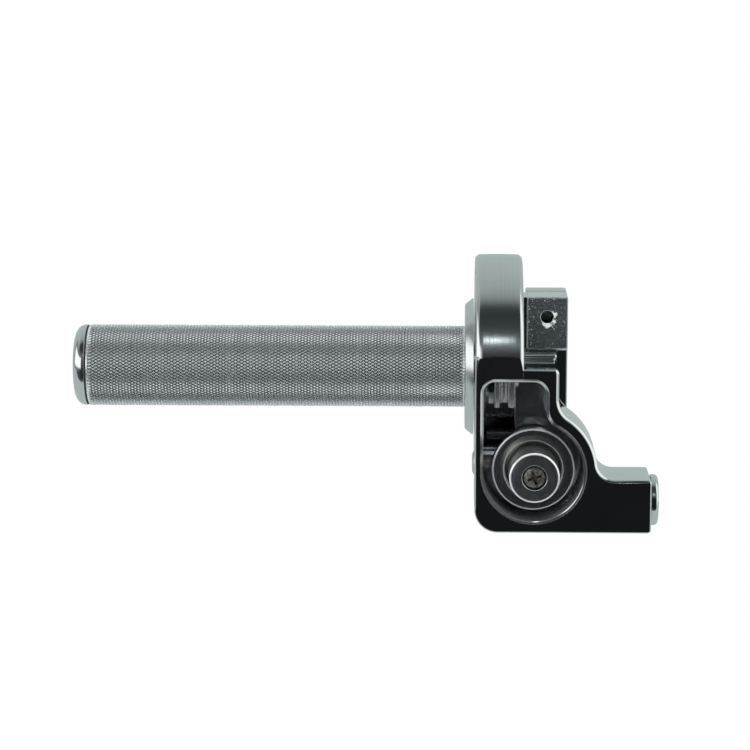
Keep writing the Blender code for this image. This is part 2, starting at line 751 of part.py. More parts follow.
def build_pulley_screw():
    """Screw with a cross recess of two slots."""
    screw = pulley_turned("pulley_screw", PULLEY_SCREW, steps=32)
    length, width = 2.1, 0.42  # half sizes of a slot
    corners = ((-length, -width), (length, -width), (length, width), (-length, width))
    for i, turn in enumerate((18.0, 108.0), 1):
        cosine, sine = math.cos(math.radians(turn)), math.sin(math.radians(turn))
        slot = [(cosine * x - sine * z, sine * x + cosine * z) for x, z in corners]
        cut(screw, helper_plate(f"cross_slot_{i}", slot, "Y", -47.0, -43.9, at=PULLEY_AT))
    finish(screw, STEEL)


def build_pulley_wheel():
    bore, recess, recess_floor = 5.05, 9.3, 29.0
    profile = [
        (PULLEY_REAR, bore),
        (PULLEY_REAR, PULLEY_REAR_RADIUS - 0.2),
        (PULLEY_REAR + 0.4, PULLEY_REAR_RADIUS),
        (22.3, PULLEY_REAR_RADIUS),
        (23.6, GROOVE_RADIUS + 0.4),
        (24.0, GROOVE_RADIUS),
        (25.2, GROOVE_RADIUS),
        (25.6, GROOVE_RADIUS + 0.4),
        (27.1, PULLEY_RADIUS),
        (PULLEY_FRONT - 0.5, PULLEY_RADIUS),
        (PULLEY_FRONT, PULLEY_RADIUS - 0.5),
        (PULLEY_FRONT, recess + 0.3),
        (PULLEY_FRONT - 0.3, recess),
        (recess_floor, recess),
        (recess_floor, bore),
    ]
    finish(pulley_turned("pulley_wheel", profile, steps=48), POLISHED)


def build_pulley_rings():
    # name, clearance round the shank, outer radius, rear and front as -y, finish
    for name, gap, outer, rear, front, base in (
        ("pulley_bush", 0.05, 5.0, 20.3, 29.1, BRONZE),
        ("pulley_washer_front", 0.1, 7.2, 29.25, 29.85, STEEL),
        ("pulley_washer_rear", 0.1, 7.2, 19.3, 20.1, STEEL),
    ):
        inner = SHANK_RADIUS + gap
        finish(ring(name, inner, outer, rear, front, 28, axis="Y", at=PULLEY_AT), base)


# ---------------------------------------------------------------- keeper screw
# (x, radius) profile, from the domed head to the thin tip
KEEPER_SCREW = [
    (-0.75, 0.0), (-0.75, 2.6), (-0.4, 3.6), (0.3, 4.25), (0.7, 4.35), (1.05, 4.35),
    (1.05, 2.5), (5.2, 2.5), (5.7, 1.9), (5.7, 1.2), (8.3, 1.2), (8.6, 0.9), (8.6, 0.0),
]


def build_keeper():
    keeper = turned("keeper_screw", KEEPER_SCREW, steps=24, at=KEEPER_AT)
    cut_hex_socket(keeper, "keeper_socket", 1.7, "X", -2.0, 0.7, KEEPER_AT)
    finish(keeper, STEEL)


# ---------------------------------------------------------------- cable adjuster
def build_adjuster():
    """Hollow adjuster in the end of the arm, with a liner in its narrow bore."""
    left, radius = ADJUSTER_LEFT, ADJUSTER_RADIUS
    head_left, head_right = ADJUSTER_HEAD_LEFT, ADJUSTER_HEAD_RIGHT
    head = ADJUSTER_HEAD_RADIUS
    bore, mouth, mouth_depth = 2.3, 3.5, 10.0
    profile = [
        (left, bore),
        (left, radius - 0.5),
        (left + 0.5, radius),
        (head_left, radius),
        (head_left, head - 0.2),
        (head_left + 0.2, head),
        (head_right - 1.2, head),
        (head_right - 0.35, head - 0.35),
        (head_right, head - 1.2),
        (head_right, mouth + 0.4),
        (head_right - 0.4, mouth),
        (head_right - mouth_depth, mouth),
        (head_right - mouth_depth, bore),
    ]
    finish(turned("cable_adjuster", profile, steps=36, at=ADJUSTER_AT), POLISHED)
    finish(ring("adjuster_liner", 1.3, 2.2, 38.5, 51.0, steps=24, at=ADJUSTER_AT), PLASTIC)


build_housing()
build_cover()
build_tube()
build_end_cap()
build_flange()
build_tube_bushes()
build_drum()
build_thrust_washers()
build_clamp()
build_pulley_hub()
build_pulley_screw()
build_pulley_wheel()
build_pulley_rings()
build_keeper()
build_adjuster()
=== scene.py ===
"""Looks of a motorcycle-style throttle grip: a knurled tube, a collar with a cable drum, and a box with a cable pulley.

Lengths are in millimetres until they go into a mesh. x runs right, along the bar, from the collar's left face; y runs
back and z up from the bar's axis. The frame's origin is the middle of the grip's left end face, GRIP_END to the left
of the collar, and the camera looks from the front (-y).
"""

import math

import bmesh
import bpy
from mathutils import Matrix, Vector


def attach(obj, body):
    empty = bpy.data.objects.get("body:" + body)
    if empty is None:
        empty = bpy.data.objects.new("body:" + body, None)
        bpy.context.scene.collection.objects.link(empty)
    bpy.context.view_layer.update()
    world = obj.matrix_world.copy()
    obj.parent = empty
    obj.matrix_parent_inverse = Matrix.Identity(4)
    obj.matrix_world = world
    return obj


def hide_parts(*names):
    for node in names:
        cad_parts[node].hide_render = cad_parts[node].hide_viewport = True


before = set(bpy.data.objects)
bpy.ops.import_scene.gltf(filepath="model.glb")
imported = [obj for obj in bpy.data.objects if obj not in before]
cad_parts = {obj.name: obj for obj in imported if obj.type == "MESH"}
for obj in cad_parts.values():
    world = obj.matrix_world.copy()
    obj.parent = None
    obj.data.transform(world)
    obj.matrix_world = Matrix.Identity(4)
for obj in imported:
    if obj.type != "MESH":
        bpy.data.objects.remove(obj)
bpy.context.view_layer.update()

# ================================================================ dimensions
# _R is a radius; _X0 and _X1 are left and right ends; _Y and _Z are places from the bar's axis
MM = 0.001
GRIP_END = 133.0
FINE = 2  # multiplies the facets of curves

BAR_R = 11.1
BORE_R = BAR_R + 0.15
TUBE_R, TUBE_IN_R, SPIGOT_R = 13.5, 12.1, 13.0
KNURL_X0, KNURL_X1 = -128.2, -3.1
KNURL_FLOOR_R = TUBE_R - 0.36
SPIGOT_END = 13.2

COLLAR_R, COLLAR_X0, COLLAR_X1, COLLAR_RIM = 37.4, 0.2, 15.6, 1.35
CAVITY_R, CAVITY_X0, CAVITY_X1 = 33.5, 2.5, 13.4
COVER_R = CAVITY_R + 0.4
COVER_SCREW_ANGLES, COVER_SCREW_RING = (20.0, 95.0, 148.0, 285.0), 31.0

FRONT_Y, BOX_BACK_Y = -36.2, -14.0
BOX_RIGHT, LEDGE_Z, BOX_BOTTOM = 26.9, 5.2, -48.3
ARM_TOP, ARM_END, CORNER_R = -30.9, 57.0, 7.5
RIM, LOW_RIM = 0.95, 0.38  # the front rim is broad above and on the right, narrow left and below

PULLEY_X, PULLEY_Z = 19.0, -28.3
SHOULDER_R, WINDOW_R, WINDOW_TOP, WINDOW_RIGHT = 20.6, 17.2, 2.0, 23.8
REBATE_W, REBATE_D, FLOOR_Y = 1.0, 0.6, -19.0  # sloping bevel of the window, and its floor
# heights on the pulley post run forwards from the bar's axis
PULLEY_REAR, PULLEY_FRONT, HUB_FRONT = 21.3, 31.9, 45.2
PULLEY_R, PULLEY_REAR_R, GROOVE_R = 13.4, 12.4, 9.6
HUB_R, SHANK_R = 8.1, 3.9
POST = (PULLEY_X, 0, PULLEY_Z)

# angles about the bar run from the front (-y) upwards
DRUM_X0, DRUM_X1, DRUM_R, DRUM_GROOVE_R, HUBRING_R = 6.4, 13.1, 27.0, 23.6, 17.0
SECTOR_FROM, SECTOR_TO, TRAVEL = -20.0, 100.0, 75.0
STOP_GAP, STOP_RING = 5.26, 24.0
STOP_PINS = {
    "open_stop_pin": SECTOR_TO + STOP_GAP,
    "closed_stop_pin": SECTOR_FROM - TRAVEL - STOP_GAP,
}

CLAMP_X0, CLAMP_X1, CLAMP_Z = 17.0, 30.4, 25.5
PAD_Y, PAD_BOTTOM, STRIP_Y, SPLIT_Y = -14.5, 8.2, -13.5, -1.3
CAP_Y0, CAP_Y1, CAP_CORNER, CAP_ROUND_R = -0.3, 8.6, 1.2, 16.2
CLAMP_RIM = 0.45
BOLT_X, BOLT_Z, THREAD_PITCH = 23.6, 18.9, 0.8

CABLE_Y = -24.6
ADJUSTER = (0, CABLE_Y, -39.6)
ADJUSTER_R, ADJUSTER_HEAD_R, ADJUSTER_IN = 5.0, 8.3, 37.0
ADJUSTER_HEAD0, ADJUSTER_HEAD1 = 57.2, 59.7
KEEPER = (0, CABLE_Y, -27.5)

looks = bpy.data.collections.new("throttle_grip_looks")
bpy.context.scene.collection.children.link(looks)


def shift(x, y, z):
    """Millimetres from the collar to metres in the frame."""
    return ((x + GRIP_END) * MM, y * MM, z * MM)


# ================================================================ node helpers
class Nodes:
    """A small writer of node trees: sockets and numbers go in, a socket comes out."""

    def __init__(self, tree):
        self.tree = tree
        tree.nodes.clear()

    def add(self, kind, **settings):
        node = self.tree.nodes.new(kind)
        for key, value in settings.items():
            setattr(node, key, value)
        return node

    def put(self, socket, value):
        if isinstance(value, bpy.types.NodeSocket):
            self.tree.links.new(value, socket)
        else:
            socket.default_value = (*value, 1.0) if socket.type == "RGBA" else value

    def fill(self, node, inputs):
        """Puts values into inputs, which are given by name or by place."""
        for key, value in inputs.items():
            self.put(node.inputs[key], value)

    def math(self, operation, *values):
        node = self.add("ShaderNodeMath", operation=operation)
        self.fill(node, dict(enumerate(values)))
        return node.outputs[0]

    def plus(self, first, second):
        return self.math("ADD", first, second)

    def minus(self, first, second):
        return self.math("SUBTRACT", first, second)

    def times(self, first, second):
        return self.math("MULTIPLY", first, second)

    def vector(self, operation, *values):
        node = self.add("ShaderNodeVectorMath", operation=operation)
        self.fill(node, dict(enumerate(values)))
        return node.outputs["Value" if operation in ("LENGTH", "DOT_PRODUCT") else 0]

    def xyz(self, vector):
        node = self.add("ShaderNodeSeparateXYZ")
        self.put(node.inputs[0], vector)
        return node.outputs

    def noise(self, vector, scale=1.0, detail=2.0, rough=0.5, distortion=0.0):
        node = self.add("ShaderNodeTexNoise", noise_dimensions="3D")
        settings = {"Scale": scale, "Detail": detail, "Roughness": rough, "Distortion": distortion}
        self.fill(node, {"Vector": vector, **settings})
        return node.outputs[0]

    def stretched(self, vector, scales, detail=2.0, rough=0.5):
        return self.noise(self.vector("MULTIPLY", vector, scales), detail=detail, rough=rough)

    def noise_along(self, place, scale, detail, rough=0.5):
        """Noise along one number."""
        place = self.times(place, scale)
        node = self.add("ShaderNodeTexNoise", noise_dimensions="1D")
        settings = {"Scale": 1.0, "Detail": detail, "Roughness": rough, "Distortion": 0.0}
        self.fill(node, {"W": place, **settings})
        return node.outputs[0]

    def cells(self, vector, scale):
        node = self.add("ShaderNodeTexVoronoi")
        self.fill(node, {"Vector": vector, "Scale": scale})
        return node.outputs["Distance"]

    def fit(self, value, span, to=(0.0, 1.0), smooth=False):
        """Maps the span onto `to`, held at both ends."""
        node = self.add("ShaderNodeMapRange")
        if smooth:
            node.interpolation_type = "SMOOTHSTEP"
        self.fill(node, dict(enumerate((value, *span, *to))))
        return node.outputs[0]

    def mix(self, factor, first, second):
        node = self.add("ShaderNodeMix", data_type="RGBA", blend_type="MIX")
        self.fill(node, {"Factor": factor, 6: first, 7: second})
        return node.outputs[2]

    def glow(self, kind, colour):
        node = self.add(kind)
        self.fill(node, {"Color": colour, "Strength": 1.0})
        return node.outputs[0]

    def by_ray(self, ray, usual, special):
        """One shader for the named kind of ray, and the usual one for the rest."""
        node = self.add("ShaderNodeMixShader")
        chooser = self.add("ShaderNodeLightPath").outputs[ray]
        self.fill(node, {0: chooser, 1: usual, 2: special})
        return node.outputs[0]


def blank_material(name):
    material = bpy.data.materials.new(name)
    material.use_nodes = True
    return material


class Surface(Nodes):
    """A material being built up: its tint, roughness and normal so far. Lengths are in millimetres."""

    def __init__(self, name, colour, rough):
        self.material = blank_material(name)
        super().__init__(self.material.node_tree)
        self.where = self.add("ShaderNodeTexCoord").outputs["Object"]
        self.output = self.add("ShaderNodeOutputMaterial")
        self.shader = self.add("ShaderNodeBsdfPrincipled")
        self.colour = self.tint = colour
        self.roughness = rough
        self.normal = None

    def metallic(self, value):
        self.put(self.shader.inputs["Metallic"], value)

    def round_edges(self, radius, samples):
        node = self.add("ShaderNodeBevel", samples=samples)
        self.put(node.inputs["Radius"], radius * MM)
        self.normal = node.outputs[0]

    def roughen(self, amount):
        self.roughness = self.plus(self.roughness, amount)

    def dye(self, factor, colour):
        self.tint = self.mix(factor, self.tint, colour)

    def shade(self, factor, share):
        """Dyes towards a share of the material's own colour."""
        self.dye(factor, tuple(min(1.0, c * share) for c in self.colour))

    def bump(self, height, strength, distance):
        node = self.add("ShaderNodeBump")
        self.fill(node, {"Strength": strength, "Distance": distance * MM, "Height": height})
        if self.normal is not None:
            self.put(node.inputs["Normal"], self.normal)
        self.normal = node.outputs[0]

    def finish(self):
        inputs = {"Base Color": self.tint, "Roughness": self.roughness, "Normal": self.normal}
        self.fill(self.shader, inputs)
        self.put(self.output.inputs[0], self.shader.outputs[0])
        return self.material


# ================================================================ surface effects
# a point on each turning axis, and the axis' direction
TURNING_AXES = {
    "bar": (shift(0.0, 0.0, 0.0), (1, 0, 0)),
    "pulley": (shift(*POST), (0, 1, 0)),
    "adjuster": (shift(-GRIP_END, *ADJUSTER[1:]), (1, 0, 0)),
    "keeper": (shift(-GRIP_END, *KEEPER[1:]), (1, 0, 0)),
}


def lathe_coordinate(surf, about):
    """A number that grows both along the axis and away from it, so that lines ring sides and end faces."""
    point, along = TURNING_AXES[about]
    across = tuple(1 - part for part in along)
    local = surf.vector("SUBTRACT", surf.where, point)
    height = surf.vector("DOT_PRODUCT", local, along)
    radius = surf.vector("LENGTH", surf.vector("MULTIPLY", local, across))
    return surf.plus(height, surf.times(radius, 1.37))


def scratch_lines(surf):
    """Thin lines: two stretched noises, thresholded."""
    one = surf.stretched(surf.where, scales=(260.0, 2400.0, 1900.0))
    two = surf.stretched(surf.where, scales=(2100.0, 1500.0, 240.0))
    return surf.math("MAXIMUM", surf.fit(one, span=(0.66, 0.72)), surf.fit(two, span=(0.68, 0.74)))


def add_turning(surf, about, strength, scale):
    place = lathe_coordinate(surf, about)
    rings = surf.noise_along(place, scale=scale, detail=3.0, rough=0.65)
    wide = surf.noise_along(place, scale=scale * 0.18, detail=1.0)
    both = surf.plus(rings, surf.times(wide, 0.6))
    surf.bump(both, strength=strength, distance=0.03)
    surf.roughen(surf.times(surf.fit(rings, span=(0.35, 0.7)), 0.10 * strength))
    most = 0.22 * min(1.0, strength * 2)
    surf.shade(surf.fit(rings, span=(0.35, 0.65), to=(0.0, most)), share=0.72)


def add_milling(surf, strength):
    """Overlapping cutter arcs and torn grain."""
    swirl = surf.add("ShaderNodeTexWave", wave_type="RINGS", rings_direction="Y", wave_profile="SIN")
    centre = shift(BOLT_X + 9.0, 0.0, 30.0)
    surf.put(swirl.inputs["Vector"], surf.vector("SUBTRACT", surf.where, centre))
    surf.fill(swirl, {"Scale": 420.0, "Distortion": 3.0, "Detail": 2.0, "Detail Scale": 3.0})
    lumps = surf.noise(surf.where, scale=1300.0, detail=4.0, rough=0.7)
    height = surf.plus(surf.times(swirl.outputs[1], 0.35), lumps)
    surf.bump(height, strength=strength, distance=0.12)
    surf.roughen(surf.fit(lumps, span=(0.35, 0.7), to=(0.0, 0.44 * strength)))


def add_grain(surf, grain):
    """Fine etched grain: light and dark specks."""
    specks = surf.noise(surf.where, scale=2600.0, detail=2.0, rough=0.7)
    surf.bump(specks, strength=grain, distance=0.06)
    most = 0.5 * min(1.0, grain * 2)
    surf.shade(surf.fit(specks, span=(0.30, 0.48), to=(most, 0.0)), share=0.5)


def add_dull_pits(surf, grain, bare):
    """The brightest specks are dull little pits that catch the lamps."""
    specks = surf.noise(surf.where, scale=2700.0, detail=1.0)
    dull = surf.times(surf.fit(specks, span=(0.60, 0.68)), grain)
    surf.metallic(surf.minus(bare, surf.times(dull, 0.30)))


def add_mottle(surf, mottle):
    """Deep brown-grey stains."""
    stain = surf.noise(surf.where, scale=1500.0, detail=5.0, rough=0.7, distortion=0.8)
    surf.dye(surf.fit(stain, span=(0.42, 0.58), to=(0.0, mottle)), (0.10, 0.085, 0.070))
    surf.roughen(surf.fit(stain, span=(0.4, 0.62), to=(0.0, 0.25 * mottle)))
    surf.bump(stain, strength=mottle, distance=0.12)


def near_edge(surf, place, low, high, band, lift):
    """Rises to `lift` across the last `band` before either edge."""
    half = 0.5 * (high - low)
    away = surf.math("ABSOLUTE", surf.minus(place, 0.5 * (low + high) * MM))
    return surf.fit(away, span=((half - band) * MM, half * MM), to=(0.0, lift))


def near_pad_edges(surf):
    x, _, z = surf.xyz(surf.where)
    left, right = CLAMP_X0 + GRIP_END, CLAMP_X1 + GRIP_END
    near_side = near_edge(surf, x, low=left, high=right, band=2.2, lift=0.09)
    near_end = near_edge(surf, z, low=PAD_BOTTOM, high=CLAMP_Z, band=1.6, lift=0.07)
    return surf.math("MAXIMUM", near_side, near_end)


def torn_mouth(surf):
    """Torn metal thrown up round the mouth of the upper tapped hole."""
    mouth = surf.vector("SUBTRACT", surf.where, shift(BOLT_X, 0.0, BOLT_Z))
    reach = surf.vector("LENGTH", surf.vector("MULTIPLY", mouth, (1, 0, 1)))
    uneven = surf.noise(surf.where, scale=420.0, detail=3.0, rough=0.6)
    ragged = surf.plus(reach, surf.fit(uneven, span=(0.3, 0.7), to=(-1.3 * MM, 1.3 * MM)))
    # the tear reaches less far up and to the left
    away = surf.vector("DOT_PRODUCT", mouth, (-0.6, 0.0, 0.8))
    lean = surf.fit(away, span=(-0.8 * MM, 2.4 * MM), to=(-0.15 * MM, 1.05 * MM))
    return surf.fit(surf.plus(ragged, lean), span=(2.45 * MM, 2.8 * MM), to=(1.0, 0.0))


def add_chips(surf, chips, bare, pad):
    """Small bright nicks: rough facets that face the light. On the pad they gather along its edges."""
    flake = surf.noise(surf.where, scale=620.0, detail=3.0, rough=0.65, distortion=1.2)
    crumb = surf.cells(surf.where, scale=1400.0)
    if pad:
        flake = surf.plus(flake, near_pad_edges(surf))
    crumbs = surf.fit(crumb, span=(0.12, 0.36), to=(1.0, 0.0))
    spot = surf.times(surf.fit(flake, span=(0.60, 0.66)), crumbs)
    if pad:
        spot = surf.math("MAXIMUM", spot, torn_mouth(surf))
    surf.dye(surf.times(spot, chips), (1.0, 1.0, 1.0))
    surf.roughen(surf.times(spot, 0.35))
    surf.bump(spot, strength=0.8 * chips, distance=0.25)
    surf.metallic(surf.minus(bare, surf.times(spot, 0.75 * chips)))


def add_worn_rims(surf, fine, wear):
    curve = surf.add("ShaderNodeNewGeometry").outputs["Pointiness"]
    uneven = surf.times(surf.fit(fine, span=(0.3, 0.7), to=(-1.0, 1.0)), 0.01)
    rim = surf.fit(surf.plus(curve, uneven), span=(0.52, 0.60))
    surf.shade(surf.times(rim, wear), share=1.12)


def add_corner_shade(surf, corner_shade):
    """Painted shade in the corners: darkens the colour towards near black, and roughens it, where ambient occlusion
    finds other surfaces within 1.2 mm.
    """
    near = surf.add("ShaderNodeAmbientOcclusion", samples=8)
    surf.put(near.inputs["Distance"], 1.2 * MM)
    dark = surf.fit(near.outputs["AO"], span=(0.35, 0.95), to=(1.0, 0.0))
    surf.dye(surf.times(dark, corner_shade), (0.05, 0.052, 0.052))
    surf.roughen(surf.times(dark, 0.25 * corner_shade))


def metal(
    name,
    colour,
    rough,
    about=None,
    turning=0.0,
    turning_scale=3000.0,
    wear=0.35,
    pits=0.0,
    scratches=0.25,
    edge=0.12,
    cloud=0.15,
    milled=0.0,
    corner_shade=0.0,
    bare=1.0,
    grain=0.0,
    mottle=0.0,
    chips=0.0,
    pad=False,
):
    """Bare or plated metal. `about` names the turning axis, `edge` is the radius of rounded edges in mm, `bare` is how
    metallic it is, `pad` adds the marks of the clamp's pad; the rest are strengths."""
    surf = Surface(name, colour, rough)
    surf.metallic(bare)
    surf.round_edges(edge, samples=6)
    broad = surf.noise(surf.where, scale=70.0, detail=4.0, rough=0.6)
    fine = surf.noise(surf.where, scale=900.0, detail=3.0, rough=0.6)
    lines = scratch_lines(surf)
    clouds = surf.fit(broad, span=(0.3, 0.7), to=(-0.5, 0.5))
    surf.roughen(surf.times(clouds, cloud * rough * 2))
    surf.roughen(surf.times(surf.fit(fine, span=(0.35, 0.75)), 0.25 * rough))
    surf.roughen(surf.times(lines, 0.12 * scratches))
    surf.shade(surf.fit(broad, span=(0.3, 0.7)), share=1.0 - 0.4 * cloud)
    if about:
        add_turning(surf, about, turning, turning_scale)
    if milled:
        add_milling(surf, milled)
    if grain:
        add_grain(surf, grain)
    if grain > 0.3 and not chips:
        add_dull_pits(surf, grain, bare)
    if mottle:
        add_mottle(surf, mottle)
    if pits:
        dents = surf.fit(surf.cells(surf.where, scale=1500.0), span=(0.0, 0.25))
        surf.bump(dents, strength=pits, distance=0.04)
    if chips:
        add_chips(surf, chips, bare, pad)
    add_worn_rims(surf, fine, wear)
    # painted shade darkening the corners
    if corner_shade:
        add_corner_shade(surf, corner_shade)
    surf.bump(lines, strength=0.12 * scratches, distance=0.02)
    return surf.finish()


def knurled_metal(name):
    """Bare knurled aluminium, rougher in the valleys. Its colour is painted by depth: near black in the grooves, which
    is painted shade, and bright on the tips of the diamonds.
    """
    # the near-black base colour is painted shade for the grooves
    surf = Surface(name, colour=(0.050, 0.058, 0.066), rough=None)
    radius = surf.vector("LENGTH", surf.vector("MULTIPLY", surf.where, (0, 1, 1)))
    height = surf.fit(radius, span=(KNURL_FLOOR_R * MM, TUBE_R * MM))
    patch = surf.stretched(surf.where, scales=(130.0, 60.0, 60.0), detail=4.0, rough=0.6)
    bands = surf.noise_along(surf.xyz(surf.where)[0], scale=260.0, detail=3.0, rough=0.6)
    grain = surf.noise(surf.where, scale=2600.0, detail=2.0, rough=0.6)
    # painted shade: the colour goes from near black in the valleys to bright on the tips
    surf.dye(surf.fit(height, span=(0.09, 0.64)), (0.96, 0.985, 1.0))
    surf.dye(surf.fit(patch, span=(0.35, 0.7), to=(0.0, 0.20)), (0.40, 0.43, 0.45))
    surf.dye(surf.fit(bands, span=(0.4, 0.7), to=(0.0, 0.18)), (0.86, 0.87, 0.87))
    surf.roughness = surf.fit(height, span=(0.0, 1.0), to=(0.42, 0.192))
    surf.roughen(surf.fit(grain, span=(0.3, 0.7), to=(-0.05, 0.07)))
    surf.roughen(surf.fit(bands, span=(0.35, 0.65), to=(0.03, -0.03)))
    surf.metallic(0.835)
    surf.bump(grain, strength=0.3, distance=0.02)
    return surf.finish()


def moulded(name, colour, rough, speckle, about=None, metallic=0.0):
    """Plastic, rubber or sintered bronze: mottled, with a fine grain and lathe or mould lines."""
    surf = Surface(name, colour, rough)
    surf.round_edges(0.1, samples=4)
    broad = surf.noise(surf.where, scale=120.0, detail=4.0)
    fine = surf.noise(surf.where, scale=1400.0, detail=3.0, rough=0.65)
    surf.shade(surf.fit(broad, span=(0.35, 0.7), to=(0.0, 0.35)), share=0.75)
    dots = surf.fit(surf.cells(surf.where, scale=2200.0), span=(0.05, 0.2), to=(speckle, 0.0))
    surf.shade(dots, share=0.35)
    surf.bump(fine, strength=0.25, distance=0.04)
    if about:
        rings = surf.noise_along(lathe_coordinate(surf, about), scale=2500.0, detail=2.0)
        surf.bump(rings, strength=0.3, distance=0.03)
    surf.metallic(metallic)
    surf.roughen(surf.fit(fine, span=(0.3, 0.7), to=(-0.08, 0.08)))
    return surf.finish()


# ================================================================ materials
BRIGHT = (0.83, 0.85, 0.86)
polish_bar = metal(
    "polished_turned_about_bar",
    BRIGHT, rough=0.11, about="bar", turning=0.45, turning_scale=2200.0, wear=0.2, edge=0.2,
)
polish_flat = metal("polished_flat", BRIGHT, rough=0.055, cloud=0.3, scratches=0.5, edge=0.15)
polish_pulley = metal(
    "polished_turned_about_pulley",
    BRIGHT, rough=0.13, about="pulley", turning=0.35, corner_shade=0.3, bare=0.985, grain=0.16, edge=0.10,
)
polish_hub = metal(
    "polished_hub",
    BRIGHT, rough=0.12, about="pulley", turning=0.2, turning_scale=2600.0, corner_shade=0.2, bare=0.985,
    grain=0.60, cloud=0.5, scratches=0.35, edge=0.10,
)
hub_side = metal(
    "turned_hub_side",
    (0.40, 0.39, 0.37), rough=0.24, about="pulley", turning=0.6, turning_scale=2600.0, corner_shade=0.4,
    bare=0.97, grain=0.25, mottle=0.35, edge=0.10,
)
polish_adjuster = metal(
    "polished_adjuster", BRIGHT, rough=0.08, about="adjuster", turning=0.25, corner_shade=0.2
)
polish_cap = metal(
    "polished_end_cap", BRIGHT, rough=0.10, about="bar", turning=0.10, turning_scale=2600.0
)
polish_cone = metal(
    "polished_flange", BRIGHT, rough=0.15, about="bar", turning=0.5, turning_scale=2600.0
)
milled_face = metal(
    "milled_pad",
    (0.71, 0.77, 0.81), rough=0.17, milled=0.17, scratches=1.3, cloud=0.8, corner_shade=0.10, bare=0.93,
    grain=0.42, chips=0.95, pad=True,
)
inside = metal(
    "machined_inside",
    (0.72, 0.74, 0.76), rough=0.14, milled=0.03, scratches=0.5, cloud=0.3, corner_shade=0.35, bare=0.97,
    edge=0.22,
)
pocket_wall = metal(
    "bored_pocket_wall",
    (0.74, 0.76, 0.77), rough=0.26, about="pulley", turning=0.5, scratches=1.0, cloud=0.5,
    corner_shade=0.2, bare=0.80, grain=0.35, edge=0.22,
)
thread_dark = metal(
    "oiled_thread", (0.20, 0.165, 0.135), rough=0.40, scratches=0.5, cloud=0.6, corner_shade=0.6, edge=0.05
)
burr = metal(
    "torn_thread_mouth",
    (0.92, 0.93, 0.92), rough=0.34, milled=1.0, scratches=1.0, edge=0.05, bare=0.45, chips=0.6,
)
# painted highlight: a lighter, partly diffuse metal on the drum's narrow sloping edges makes them show as bright lines
drum_edge_highlight = metal(
    "drum_edge_painted_highlight",
    (0.90, 0.91, 0.90), rough=0.24, about="bar", turning=0.3, scratches=0.8, bare=0.70, edge=0.05,
)
drum_metal = metal(
    "machined_drum",
    (0.56, 0.58, 0.57), rough=0.20, about="bar", turning=0.5, corner_shade=0.45, bare=0.90, edge=0.22,
)
# painted highlight: a lighter, partly diffuse metal on the front rims of the pulley and hub makes them show as bright
# rings
rim_light = metal(
    "rim_painted_highlight", (0.93, 0.94, 0.94), rough=0.18, scratches=0.6, bare=0.64, edge=0.05
)
plated = metal(
    "plated_screw",
    (0.74, 0.74, 0.73), rough=0.20, pits=0.12, scratches=0.8, cloud=0.4, corner_shade=0.5, edge=0.12,
    bare=0.92,
)
stained = metal(
    "stained_screw",
    (0.56, 0.54, 0.50), rough=0.15, pits=0.30, scratches=1.0, cloud=0.6, corner_shade=0.8, edge=0.10,
    bare=0.90, mottle=1.0,
)
plated_pulley = metal(
    "plated_washer", (0.70, 0.70, 0.69), rough=0.20, about="pulley", turning=0.3, corner_shade=0.4, bare=0.9
)
plated_keeper = metal(
    "plated_keeper", (0.72, 0.72, 0.71), rough=0.20, about="keeper", turning=0.3, corner_shade=0.4, bare=0.9
)
black_oxide = metal("black_oxide", (0.07, 0.07, 0.075), rough=0.38, pits=0.3, cloud=0.6, wear=0.8)
knurl = knurled_metal("knurled_aluminium")
bronze = moulded(
    "sintered_bronze", (0.56, 0.38, 0.20), rough=0.38, about="pulley", metallic=1.0, speckle=0.7
)
acetal = moulded("white_acetal", (0.80, 0.80, 0.76), rough=0.42, about="bar", speckle=0.1)
rubber = moulded("black_rubber", (0.020, 0.020, 0.021), rough=0.62, speckle=0.3)

# ================================================================ shape helpers
# turn a shape built along local z: for X and Z height runs along the axis, for Y it runs forwards (-y)
AXES = {
    "X": Matrix(((0, 0, 1), (1, 0, 0), (0, 1, 0))),
    "Y": Matrix(((1, 0, 0), (0, 0, -1), (0, 1, 0))),
    "Z": Matrix.Identity(3),
}
MERGE = 2e-7  # metres


def placed(axis, at):
    return Matrix.Translation(shift(*at)) @ AXES[axis].to_4x4()


def to_mesh(name, bm, matrix=None):
    bmesh.ops.recalc_face_normals(bm, faces=bm.faces)
    if matrix is not None:
        bm.transform(matrix)
    mesh = bpy.data.meshes.new(name)
    bm.to_mesh(mesh)
    bm.free()
    return mesh


def to_object(name, bm, matrix=None):
    obj = bpy.data.objects.new(name, to_mesh(name, bm, matrix))
    looks.objects.link(obj)
    return obj


def band(bm, first, second):
    """Quads between two closed loops of as many vertices."""
    for i in range(len(first)):
        j = (i + 1) % len(first)
        bm.faces.new((first[i], first[j], second[j], second[i]))


